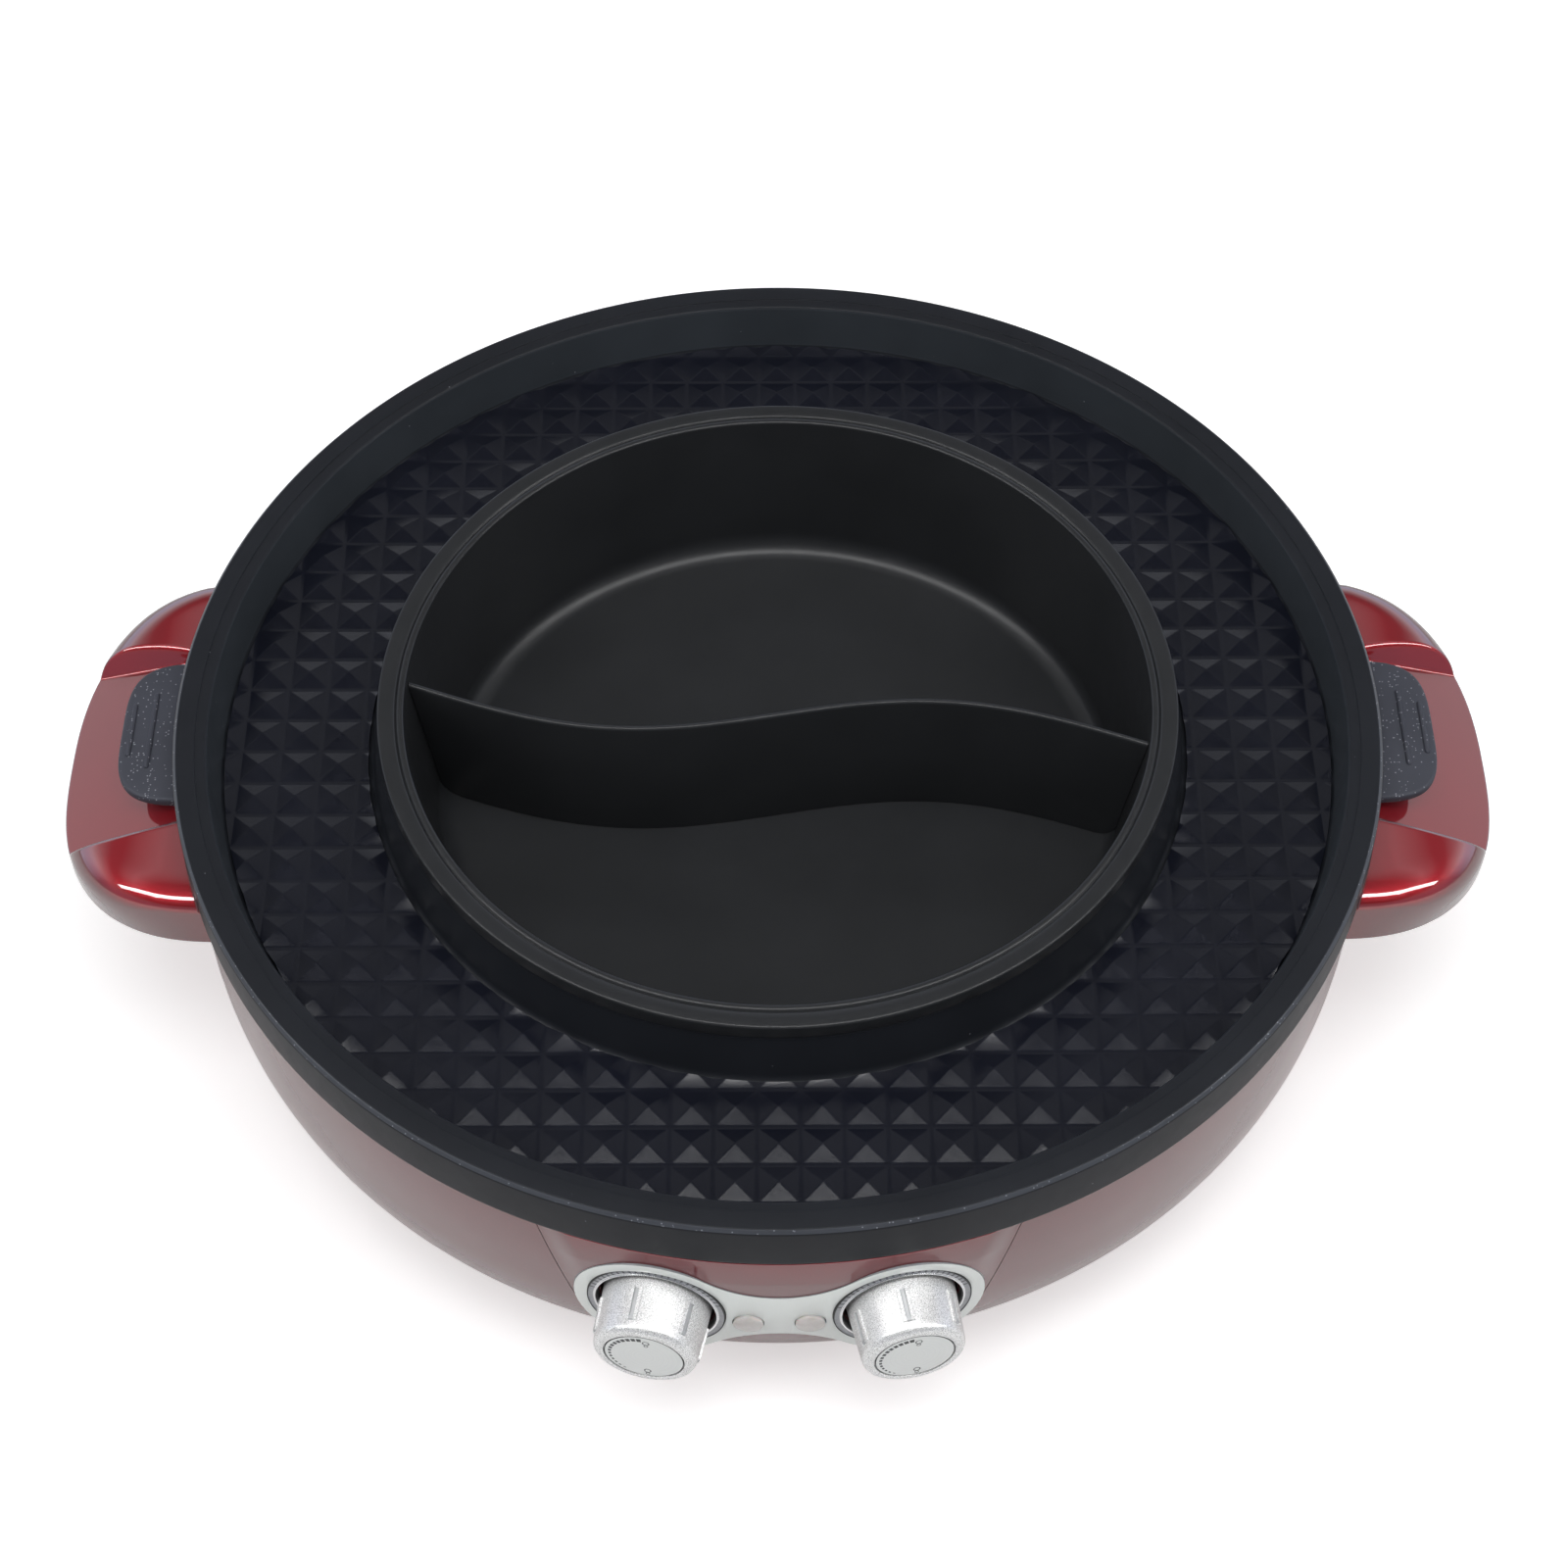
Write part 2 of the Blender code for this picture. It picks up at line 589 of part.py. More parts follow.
def trim_outline(margin):
    # The plate's dog-bone outline seen from the front, as (x, z)
    end_x = TRIM_RADIUS * sin(KNOB_ANGLE)
    end_radius = TRIM_END_RADIUS + margin
    above, lean_above = waist_arc(end_x, KNOB_Z, TRIM_WAIST_ABOVE + margin, end_radius, 1)
    below, lean_below = waist_arc(end_x, KNOB_Z, TRIM_WAIST_BELOW + margin, end_radius, -1)
    right = arc((end_x, KNOB_Z), end_radius, pi / 2 + lean_above, -pi / 2 - lean_below,
                3 * CURVE_STEPS)
    left = arc((-end_x, KNOB_Z), end_radius, 3 * pi / 2 + lean_below, pi / 2 - lean_above,
               3 * CURVE_STEPS)
    return above[:-1] + right[:-1] + below[:-1] + left[:-1]


def trim_cylinder(name, inner, outer, parent, finish=None):
    low = KNOB_Z - TRIM_END_RADIUS - OVERRUN
    high = KNOB_Z + TRIM_END_RADIUS + OVERRUN
    profile = ((outer, high), (outer, low), (inner, low), (inner, high))
    return add_object(name, turned(profile, FINE_STEPS, phase=0.5), parent, finish)


def front_cutter(name, outline, parent):
    near = HOUSING_LIP_BORE - HOUSING_WALL * 4
    far = TRIM_RADIUS + OVERRUN
    return add_object(name, front_prism(outline, near, far), parent)


def make_housing(axis):
    finish = (RED, 0.25, 0.4)
    housing = add_object("housing_bowl", turned(housing_profile()), axis, finish)
    window = front_cutter("fascia_window", fascia_outline(0), axis)
    boolean(housing, window)
    return housing


def make_fascia(axis, knob_frames, lamp_frames, middle_frame):
    finish = (RED, 0.25, 0.4)
    fascia = add_object("front_fascia", turned(housing_profile()), axis, finish)
    boolean(fascia, front_cutter("fascia_shape", fascia_outline(FASCIA_SEAM), axis), "INTERSECT")
    pad = trim_cylinder("fascia_pad", HOUSING_BELLY_RADIUS - 2 * HOUSING_WALL,
                        FASCIA_PAD_RADIUS, axis)
    boolean(pad, front_cutter("fascia_pad_shape", trim_outline(FASCIA_PAD_MARGIN), axis),
            "INTERSECT")
    boolean(fascia, pad, "UNION")
    for side in (-1, 1):
        centre = (0, KNOB_Z + side * FASCIA_POST_SPACING / 2)
        post = add_object(f"fascia_post_{side}",
                          rod(FASCIA_POST_RADIUS, BRACKET_RADIUS + BRACKET_THICKNESS + SEAT_GAP,
                              HOUSING_BELLY_RADIUS - HOUSING_WALL, centre=centre), middle_frame)
        boolean(fascia, post, "UNION")
        hole = add_object(f"fascia_post_hole_{side}",
                          rod(SMALL_SCREW_RADIUS + RUNNING_GAP, BRACKET_RADIUS,
                              bracket_screw_tip() + SEAT_GAP, centre=centre), middle_frame)
        boolean(fascia, hole)
    for frame in knob_frames:
        pocket = add_object(f"{frame.name}_pocket",
                            rod(RING_RADIUS + RUNNING_GAP, RING_BACK - SEAT_GAP,
                                TRIM_RADIUS + OVERRUN, KNOB_STEPS), frame)
        hole = add_object(f"{frame.name}_hole",
                          rod(KNOB_BORE_IN_FASCIA, BRACKET_RADIUS + 2 * BRACKET_THICKNESS,
                              TRIM_RADIUS, KNOB_STEPS), frame)
        boolean(fascia, pocket)
        boolean(fascia, hole)
    for frame in lamp_frames:
        hole = add_object(f"{frame.name}_hole",
                          rod(LENS_STEM_RADIUS + RUNNING_GAP, BRACKET_RADIUS,
                              TRIM_RADIUS + OVERRUN), frame)
        boolean(fascia, hole)
    return fascia


def bracket_screw_tip():
    return BRACKET_RADIUS - SEAT_GAP + BRACKET_SCREW_LENGTH


def make_trim(axis, knob_frames, lamp_frames):
    finish = (SILVER, 0.35, 0.3)
    trim = trim_cylinder("control_trim", TRIM_RADIUS - TRIM_THICKNESS, TRIM_RADIUS, axis, finish)
    boolean(trim, front_cutter("trim_shape", trim_outline(0), axis), "INTERSECT")
    for frame in knob_frames:
        hole = add_object(f"{frame.name}_trim_hole",
                          rod(RING_RADIUS + RUNNING_GAP, BRACKET_RADIUS,
                              TRIM_RADIUS + OVERRUN, KNOB_STEPS), frame)
        boolean(trim, hole)
    for frame in lamp_frames:
        hole = add_object(f"{frame.name}_trim_hole",
                          rod(LENS_RADIUS + RUNNING_GAP, BRACKET_RADIUS,
                              TRIM_RADIUS + OVERRUN), frame)
        boolean(trim, hole)
    return trim


# Knobs and what is behind them

def knob_bump(radius, height, step):
    # Six raised grip ribs on the knob's side
    low = KNOB_BACK + KNOB_RIB_FROM_BACK
    high = KNOB_FACE - KNOB_RIB_FROM_FACE
    pitch = KNOB_STEPS // KNOB_RIB_COUNT
    on_rib = step % pitch in (0, 1)
    on_side = low <= height <= high and radius > KNOB_FRONT_RADIUS - KNOB_RIB_HEIGHT
    return KNOB_RIB_HEIGHT if on_rib and on_side else 0


def knob_side(height):
    share = (height - KNOB_BACK) / KNOB_LENGTH
    return KNOB_BASE_RADIUS + (KNOB_FRONT_RADIUS - KNOB_BASE_RADIUS) * share


def make_knob(side, frame):
    rib_low = KNOB_BACK + KNOB_RIB_FROM_BACK
    rib_high = KNOB_FACE - KNOB_RIB_FROM_FACE
    fillet_low = KNOB_FACE - KNOB_FRONT_FILLET
    recess = CAP_RADIUS + RUNNING_GAP
    floor = KNOB_FACE - CAP_RECESS - SEAT_GAP
    inside = floor - KNOB_FACE_THICKNESS
    bore = SHAFT_RADIUS + RUNNING_GAP
    hub_back = KNOB_BACK + KNOB_WALL
    profile = [(KNOB_BASE_RADIUS, KNOB_BACK), (knob_side(rib_low), rib_low),
               (knob_side(rib_high), rib_high), (knob_side(fillet_low), fillet_low)]
    profile += arc((knob_side(fillet_low) - KNOB_FRONT_FILLET, fillet_low), KNOB_FRONT_FILLET,
                   pi / 6, pi / 2, 2)
    profile += [(recess, KNOB_FACE), (recess, floor), (0, floor), (0, shaft_tip() + SEAT_GAP),
                (bore, shaft_tip() + SEAT_GAP), (bore, hub_back), (KNOB_HUB_RADIUS, hub_back),
                (KNOB_HUB_RADIUS, inside), (knob_side(inside) - KNOB_WALL, inside),
                (KNOB_BASE_RADIUS - KNOB_WALL, KNOB_BACK)]
    return add_object(f"knob_{side}", turned(profile, KNOB_STEPS, knob_bump), frame,
                      (KNOB_METAL, 0.3, 1.0))


def shaft_tip():
    return KNOB_FACE - CAP_RECESS - SEAT_GAP - KNOB_FACE_THICKNESS / 2


def shaft_seat():
    return THERMOSTAT_FRONT - SHAFT_SEAT_DEPTH


def make_cap(side, frame):
    low = KNOB_FACE - CAP_RECESS
    return add_object(f"knob_cap_{side}", rod(CAP_RADIUS, low, low + CAP_THICKNESS, KNOB_STEPS),
                      frame, (SILVER, 0.4, 0.2))


def make_shaft(side, frame):
    shaft = add_object(f"knob_shaft_{side}",
                       rod(SHAFT_RADIUS, shaft_seat() + SEAT_GAP, shaft_tip()), frame,
                       (BRASS, 0.3, 1.0))
    flat = add_object(f"shaft_flat_{side}",
                      block((-2 * SHAFT_RADIUS, SHAFT_FLAT, shaft_tip() - SHAFT_FLAT_LENGTH),
                            (2 * SHAFT_RADIUS, 2 * SHAFT_RADIUS, shaft_tip() + OVERRUN)), frame)
    boolean(shaft, flat)
    return shaft


def make_ring(side, frame):
    profile = ((RING_RADIUS, RING_FRONT), (RING_RADIUS, RING_BACK), (RING_BORE, RING_BACK),
               (RING_BORE, RING_FRONT))
    return add_object(f"dial_ring_{side}", turned(profile, KNOB_STEPS), frame,
                      (SMOKE, 0.2, 0.0))


def make_thermostat(side, frame):
    bore = SHAFT_RADIUS + RUNNING_GAP
    front = THERMOSTAT_FRONT + BUSHING_REACH
    profile = ((0, THERMOSTAT_FRONT - THERMOSTAT_DEPTH),
               (THERMOSTAT_RADIUS, THERMOSTAT_FRONT - THERMOSTAT_DEPTH),
               (THERMOSTAT_RADIUS, THERMOSTAT_FRONT), (BUSHING_RADIUS, THERMOSTAT_FRONT),
               (BUSHING_RADIUS, front), (bore, front), (bore, shaft_seat()), (0, shaft_seat()))
    return add_object(f"thermostat_{side}", turned(profile, KNOB_STEPS), frame,
                      (STEEL, 0.4, 0.8))


def make_nut(side, frame):
    low = BRACKET_RADIUS + BRACKET_THICKNESS + SEAT_GAP
    bore = BUSHING_RADIUS + RUNNING_GAP
    nut = add_object(f"thermostat_nut_{side}",
                     rod(NUT_ACROSS_CORNERS / 2, low, low + NUT_THICKNESS, 6), frame,
                     (STEEL, 0.35, 1.0))
    boolean(nut, add_object(f"nut_bore_{side}", rod(bore, low - OVERRUN, low + 2 * OVERRUN),
                            frame))
    return nut


def make_lens(side, frame):
    head = FASCIA_PAD_RADIUS + SEAT_GAP
    stem = LENS_STEM_RADIUS
    back = BRACKET_RADIUS + lamp_front()
    profile = ((0, back), (stem, back), (stem, head), (LENS_RADIUS, head),
               (LENS_RADIUS, head + LENS_HEAD), (LENS_RADIUS * cos(pi / 4), head + LENS_HEAD
                                                 + LENS_DOME * sin(pi / 4)),
               (0, head + LENS_HEAD + LENS_DOME))
    return add_object(f"lamp_lens_{side}", turned(profile, SMALL_STEPS), frame,
                      (LENS_CLEAR, 0.2, 0.0))


def lamp_front():
    # How far the lamp and the lens behind meet in front of the bracket's back
    return 2 * BRACKET_THICKNESS + SEAT_GAP


def make_lamp(side, frame):
    front = BRACKET_RADIUS + lamp_front() - SEAT_GAP
    collar = BRACKET_RADIUS - SEAT_GAP
    back = front - LAMP_LENGTH
    profile = ((0, back), (LAMP_RADIUS, back), (LAMP_RADIUS, collar - LAMP_COLLAR_THICKNESS),
               (LAMP_COLLAR_RADIUS, collar - LAMP_COLLAR_THICKNESS),
               (LAMP_COLLAR_RADIUS, collar), (LAMP_RADIUS, collar), (LAMP_RADIUS, front),
               (0, front))
    return add_object(f"indicator_lamp_{side}", turned(profile, SMALL_STEPS), frame,
                      (CERAMIC, 0.4, 0.0))


def make_bracket(axis, knob_frames, lamp_frames, middle_frame):
    data = bmesh.new()
    low = KNOB_Z - BRACKET_HEIGHT / 2
    high = KNOB_Z + BRACKET_HEIGHT / 2
    rings = []
    for step in range(CURVE_STEPS + 1):
        angle = BRACKET_HALF_ANGLE * (2 * step / CURVE_STEPS - 1)
        near = outward(angle, BRACKET_RADIUS)
        far = outward(angle, BRACKET_RADIUS + BRACKET_THICKNESS)
        rings.append([data.verts.new((*near, low)), data.verts.new((*far, low)),
                      data.verts.new((*far, high)), data.verts.new((*near, high))])
    for first, second in zip(rings, rings[1:]):
        for index in range(4):
            after = (index + 1) % 4
            data.faces.new((first[index], first[after], second[after], second[index]))
    data.faces.new(rings[0])
    data.faces.new(rings[-1])
    bracket = add_object("control_bracket", data, axis, (STEEL, 0.4, 1.0))
    near = BRACKET_RADIUS - OVERRUN
    far = BRACKET_RADIUS + OVERRUN
    for frame in knob_frames:
        hole = rod(BUSHING_RADIUS + RUNNING_GAP, near, far)
        boolean(bracket, add_object(f"{frame.name}_bracket_hole", hole, frame))
    for frame in lamp_frames:
        hole = rod(LAMP_RADIUS + RUNNING_GAP, near, far)
        boolean(bracket, add_object(f"{frame.name}_bracket_hole", hole, frame))
    for side in (-1, 1):
        centre = (0, KNOB_Z + side * FASCIA_POST_SPACING / 2)
        hole = rod(SMALL_SCREW_RADIUS + RUNNING_GAP, near, far, centre=centre)
        boolean(bracket, add_object(f"bracket_screw_hole_{side}", hole, middle_frame))
    return bracket


def screw(name, frame, seat, length, direction=1, centre=(0, 0)):
    # A pan-head screw whose head's underside is at the seat, along local Z
    head = seat - direction * SMALL_HEAD_HEIGHT
    tip = seat + direction * length
    profile = ((0, head), (SMALL_HEAD_RADIUS, head), (SMALL_HEAD_RADIUS, seat),
               (SMALL_SCREW_RADIUS, seat), (SMALL_SCREW_RADIUS, tip), (0, tip))
    data = turned(profile, SCREW_STEPS)
    bmesh.ops.translate(data, verts=data.verts, vec=(centre[0], centre[1], 0))
    return add_object(name, data, frame, (STEEL, 0.35, 1.0))


# Handles

def superellipse(root, reach, half_width, power, steps=WING_STEPS):
    points = []
    for step in range(steps + 1):
        turn = pi * step / steps - pi / 2
        along = max(cos(turn), 0)**(2 / power) if 0 < step < steps else 0
        across = abs(sin(turn))**(2 / power)
        points.append((root + (reach - root) * along, half_width * across * (1 if turn > 0 else -1)))
    return points


def wing_rings():
    # Rings from the root's middle to the edge, each with its share of the rise above the edge
    flat_share = 1 - WING_ROUND / (WING_REACH - WING_ROOT)
    crown_shares = (0.4, 0.75, 1)
    rings = [(flat_share * share, 1) for share in crown_shares]
    for degrees_down in (25, 50, 72, 90):
        turn = radians(degrees_down)
        rings.append((flat_share + (1 - flat_share) * sin(turn), cos(turn)))
    return rings


def wing_height(place, rise_share):
    # The wing's top and its edge both fall away outward, and a quarter ellipse joins them
    out = max(place - PAN_RADIUS, 0) / (WING_REACH - PAN_RADIUS)
    top = WING_TOP_Z - WING_TOP_FALL * out**2
    edge = WING_EDGE_Z - WING_EDGE_FALL * out
    return edge + (top - edge) * rise_share


def wing_body():
    data = bmesh.new()
    edge = superellipse(0, WING_REACH - WING_ROOT, WING_HALF_WIDTH, WING_POWER)
    top = data.verts.new((WING_ROOT, 0, WING_TOP_Z))
    rings = []
    for share, rise_share in wing_rings():
        ring = [(WING_ROOT + x * share, y * share) for x, y in edge]
        rings.append([data.verts.new((x, y, wing_height(x, rise_share))) for x, y in ring])
    rings.append([data.verts.new((WING_ROOT + x, y, WING_BOTTOM_Z)) for x, y in edge])
    for index in range(WING_STEPS):
        data.faces.new((top, rings[0][index], rings[0][index + 1]))
    for first, second in zip(rings, rings[1:]):
        for index in range(WING_STEPS):
            data.faces.new((first[index], first[index + 1], second[index + 1], second[index]))
    data.faces.new(rings[-1])
    back = [top] + [ring[0] for ring in rings] + [ring[-1] for ring in reversed(rings)]
    data.faces.new(back)
    return data


def tongue_z(place):
    share = (place - TONGUE_INNER_PLACE) / (TONGUE_OUTER_PLACE - TONGUE_INNER_PLACE)
    return TONGUE_INNER_Z - TONGUE_DROP * share


def tongue_cutter(margin=0):
    # The sunk channel along the wing's middle with its leaning sides, grown by the margin
    data = bmesh.new()
    bottom = []
    top = []
    for place, half_width in ((WING_ROOT - OVERRUN, TONGUE_ROOT_HALF_WIDTH),
                              (WING_REACH + OVERRUN, TONGUE_HALF_WIDTH)):
        floor = tongue_z(place) - margin
        low_half = half_width + margin
        high_half = low_half + TONGUE_LEAN_SHARE * (PAN_RIM_Z - floor)
        bottom.append([data.verts.new((place, side * low_half, floor)) for side in (-1, 1)])
        top.append([data.verts.new((place, side * high_half, PAN_RIM_Z)) for side in (-1, 1)])
    for level in (bottom, top):
        data.faces.new((level[0][0], level[1][0], level[1][1], level[0][1]))
    for first, second in zip(bottom, top):
        data.faces.new((first[0], first[1], second[1], second[0]))
    for side in (0, 1):
        data.faces.new((bottom[0][side], bottom[1][side], top[1][side], top[0][side]))
    return data


def round_clearance(name, margin, axis):
    # What the wing has to stay clear of: the bowl below its lip and the pan's skirt above it
    low = WING_BOTTOM_Z - OVERRUN
    heights = (HOUSING_LIP_Z, (HOUSING_LIP_Z + HOUSING_BELLY_Z) / 2, HOUSING_BELLY_Z)
    side = [(housing_radius(height) + margin, height) for height in heights]
    pan = PAN_RADIUS + PAN_TO_WING_GAP - SEAT_GAP + margin
    profile = [(0, PAN_RIM_Z), (pan, PAN_RIM_Z), (pan, HOUSING_LIP_Z)] + side + [(0, side[-1][1])]
    profile = [(radius, max(height, low)) for radius, height in profile]
    return add_object(name, turned(profile), axis)


def wing_hollow(side, holder):
    # The open underside: what is left of the wing's outline below the tongue and the crest
    edge = superellipse(WING_ROOT, WING_REACH - WING_WALL, WING_HALF_WIDTH - WING_WALL, WING_POWER)
    low = WING_BOTTOM_Z - OVERRUN
    high = WING_TOP_Z - WING_TOP_FALL - WING_TONGUE_WALL
    hollow = add_object(f"wing_hollow_{side}", prism(edge, low, high), holder)
    tongue = add_object(f"wing_hollow_tongue_{side}", tongue_cutter(WING_TONGUE_WALL), holder)
    boolean(hollow, tongue)
    core_radius = HOUSING_BELLY_RADIUS + WING_INNER_WALL
    profile = ((0, PAN_RIM_Z), (core_radius, PAN_RIM_Z), (core_radius, HOUSING_BASE_Z),
               (0, HOUSING_BASE_Z))
    boolean(hollow, add_object(f"wing_hollow_core_{side}", turned(profile), holder))
    return hollow


def make_handle(side, axis, screw_frames):
    holder = empty(f"handle_place_{side}", axis, rotation=(0, 0, pi if side == "left" else 0))
    handle = add_object(f"handle_{side}", wing_body(), holder, (RED, 0.25, 0.4))
    boolean(handle, round_clearance(f"wing_clearance_{side}", SEAT_GAP, axis))
    boolean(handle, add_object(f"tongue_cut_{side}", tongue_cutter(), holder))
    boolean(handle, wing_hollow(side, holder))
    for frame in screw_frames:
        tip = handle_screw_seat() + HANDLE_SCREW_LENGTH + SEAT_GAP
        hole = rod(SMALL_SCREW_RADIUS + RUNNING_GAP, handle_screw_seat(), tip)
        boolean(handle, add_object(f"{frame.name}_wing_hole", hole, frame))
    return handle


def handle_screw_seat():
    # Just inside the bowl's wall, where the head's flat side clears the curved wall
    inner = housing_radius(HANDLE_SCREW_Z) - HOUSING_WALL
    return inner * cos(pi / ROUND_STEPS) * cos(asin(SMALL_HEAD_RADIUS / inner)) - SEAT_GAP


def make_handle_screws(axis, housing):
    frames = {"left": [], "right": []}
    for side, turn in (("left", -pi / 2), ("right", pi / 2)):
        for index, place in enumerate((-1, 1)):
            spread = asin(HANDLE_SCREW_PLACE / HOUSING_BELLY_RADIUS)
            name = f"handle_screw_{side}_{index + 1}"
            frame = front_frame(f"{name}_place", axis, turn + place * spread, HANDLE_SCREW_Z)
            frames[side].append(frame)
            screw(name, frame, handle_screw_seat(), HANDLE_SCREW_LENGTH)
            hole = rod(SMALL_SCREW_RADIUS + RUNNING_GAP, handle_screw_seat() - OVERRUN / 2,
                       HOUSING_BELLY_RADIUS + OVERRUN)
            boolean(housing, add_object(f"{name}_hole", hole, frame))
    return frames


# Grill pan

def pan_profile():
    base = PAN_BASE_Z
    collar = PAN_COLLAR_Z
    groove = PAN_FLOOR_Z - PAN_GROOVE_DEPTH
    wall_foot = PAN_WALL_FOOT_RADIUS - PAN_WALL_FILLET
    collar_foot = PAN_COLLAR_FOOT_RADIUS + PAN_WALL_FILLET
    return [(PAN_RADIUS - PAN_RIM_CHAMFER, PAN_RIM_Z), (PAN_RADIUS, PAN_RIM_Z - PAN_RIM_CHAMFER),
            (PAN_RADIUS, base + PAN_SKIRT_TAPER_HEIGHT), (PAN_SKIRT_RADIUS, base),
            (PAN_RIB_RADIUS, base), (PAN_RIB_RADIUS, base - PAN_RIB_HEIGHT),
            (PAN_RIB_RADIUS - PAN_RIB_WIDTH, base - PAN_RIB_HEIGHT),
            (PAN_RIB_RADIUS - PAN_RIB_WIDTH, base),
            (PAN_COLLAR_BORE_RADIUS, base), (PAN_COLLAR_BORE_RADIUS, collar),
            (PAN_COLLAR_TOP_RADIUS, collar), (PAN_COLLAR_FOOT_RADIUS, groove + PAN_WALL_FILLET),
            (collar_foot, groove), (collar_foot + PAN_GROOVE_WIDTH, groove),
            (collar_foot + PAN_GROOVE_WIDTH, PAN_FLOOR_Z),
            (wall_foot - PAN_GROOVE_WIDTH, PAN_FLOOR_Z), (wall_foot - PAN_GROOVE_WIDTH, groove),
            (wall_foot, groove), (PAN_WALL_FOOT_RADIUS, groove + PAN_WALL_FILLET),
            (PAN_WALL_TOP_RADIUS, PAN_RIM_Z - 2 * PAN_RIM_STEP),
            (PAN_RIM_STEP_RADIUS, PAN_RIM_Z - PAN_RIM_STEP), (PAN_RIM_STEP_RADIUS, PAN_RIM_Z)]


def make_pan(axis):
    pan = add_object("grill_pan", turned(pan_profile()), axis, (COATING, 0.45, 0.0))
    top = EAR_TOP_Z
    for side, turn in (("left", pi), ("right", 0)):
        place = empty(f"ear_place_{side}", axis, rotation=(0, 0, turn))
        outline = superellipse(EAR_ROOT, EAR_REACH, EAR_HALF_WIDTH, EAR_POWER, SMALL_STEPS)
        boolean(pan, add_object(f"ear_{side}", prism(outline, top - EAR_THICKNESS, top), place),
                "UNION")
        for index, (place_share, length_share) in enumerate(zip(EAR_BEAD_PLACE_SHARES,
                                                                EAR_BEAD_LENGTH_SHARES)):
            reach = PAN_RADIUS + EAR_PROJECTION * place_share
            half = EAR_HALF_WIDTH * length_share
            bead = block((reach - EAR_BEAD_WIDTH / 2, -half, top - EAR_THICKNESS / 2),
                         (reach + EAR_BEAD_WIDTH / 2, half, top + EAR_BEAD_HEIGHT))
            boolean(pan, add_object(f"ear_bead_{side}_{index}", bead, place), "UNION")
    return pan


# Hot pot

def pot_inner_curve(gap):
    # The pot's cavity from the mouth to the floor's centre, moved in by the gap
    floor = POT_BASE_Z + POT_FLOOR_THICKNESS + gap
    base_radius = POT_BASE_RADIUS - POT_WALL - gap
    mouth = (POT_MOUTH_RADIUS - gap, POT_FLANGE_Z - POT_BEAD_GROOVE)
    corner = POT_CORNER - POT_WALL
    curve = [mouth]
    curve += arc((base_radius - corner, floor + corner), corner, 0, -pi / 2, 3)
    curve.append((0, floor))
    return curve


def pot_profile():
    under = PAN_COLLAR_Z + SEAT_GAP
    edge = POT_FLANGE_EDGE
    outer_top = POT_MOUTH_RADIUS + POT_WALL
    outer = [(POT_FLANGE_RADIUS - edge, POT_FLANGE_Z), (POT_FLANGE_RADIUS, POT_FLANGE_Z - edge),
             (POT_FLANGE_RADIUS, under + edge), (POT_FLANGE_RADIUS - edge, under),
             (outer_top, under)]
    outer += arc((POT_BASE_RADIUS - POT_CORNER, POT_BASE_Z + POT_CORNER), POT_CORNER, 0,
                 -pi / 2, 3)
    outer.append((0, POT_BASE_Z))
    bead_outer = POT_MOUTH_RADIUS + POT_BEAD_WIDTH
    bead = [(bead_outer + POT_BEAD_GROOVE, POT_FLANGE_Z),
            (bead_outer, POT_FLANGE_Z - POT_BEAD_GROOVE),
            (bead_outer - POT_BEAD_GROOVE, POT_FLANGE_Z),
            (POT_MOUTH_RADIUS + POT_BEAD_GROOVE, POT_FLANGE_Z)]
    inner = list(reversed(pot_inner_curve(0)))
    return outer + inner + list(reversed(bead))


def make_pot(axis):
    return add_object("hot_pot", turned(pot_profile()), axis, (COATING, 0.35, 0.0))


def divider_y(x):
    return DIVIDER_OFFSET + DIVIDER_LEAN_SHARE * x + DIVIDER_WAVE * sin(pi * x / POT_BASE_RADIUS)


def make_divider(axis):
    reach = POT_MOUTH_RADIUS + POT_WALL
    steps = 4 * CURVE_STEPS
    front, back = [], []
    for step in range(steps + 1):
        x = reach * (2 * step / steps - 1)
        slope = DIVIDER_LEAN_SHARE + DIVIDER_WAVE * pi / POT_BASE_RADIUS * cos(
            pi * x / POT_BASE_RADIUS)
        length = hypot(1, slope)
        half = DIVIDER_THICKNESS / 2
        front.append((x + half * slope / length, divider_y(x) - half / length))
        back.append((x - half * slope / length, divider_y(x) + half / length))
    top = POT_FLANGE_Z - POT_BEAD_GROOVE - DIVIDER_BELOW_MOUTH
    data = prism(front + list(reversed(back)), POT_BASE_Z, top)
    divider = add_object("pot_divider", data, axis, (COATING, 0.35, 0.0))
    cavity = list(pot_inner_curve(SEAT_GAP / cos(pi / ROUND_STEPS)))
    cavity = [(0, POT_FLANGE_Z - POT_BEAD_GROOVE)] + cavity
    boolean(divider, add_object("pot_cavity", turned(cavity), axis), "INTERSECT")
    return divider


# Heat shield and heating parts

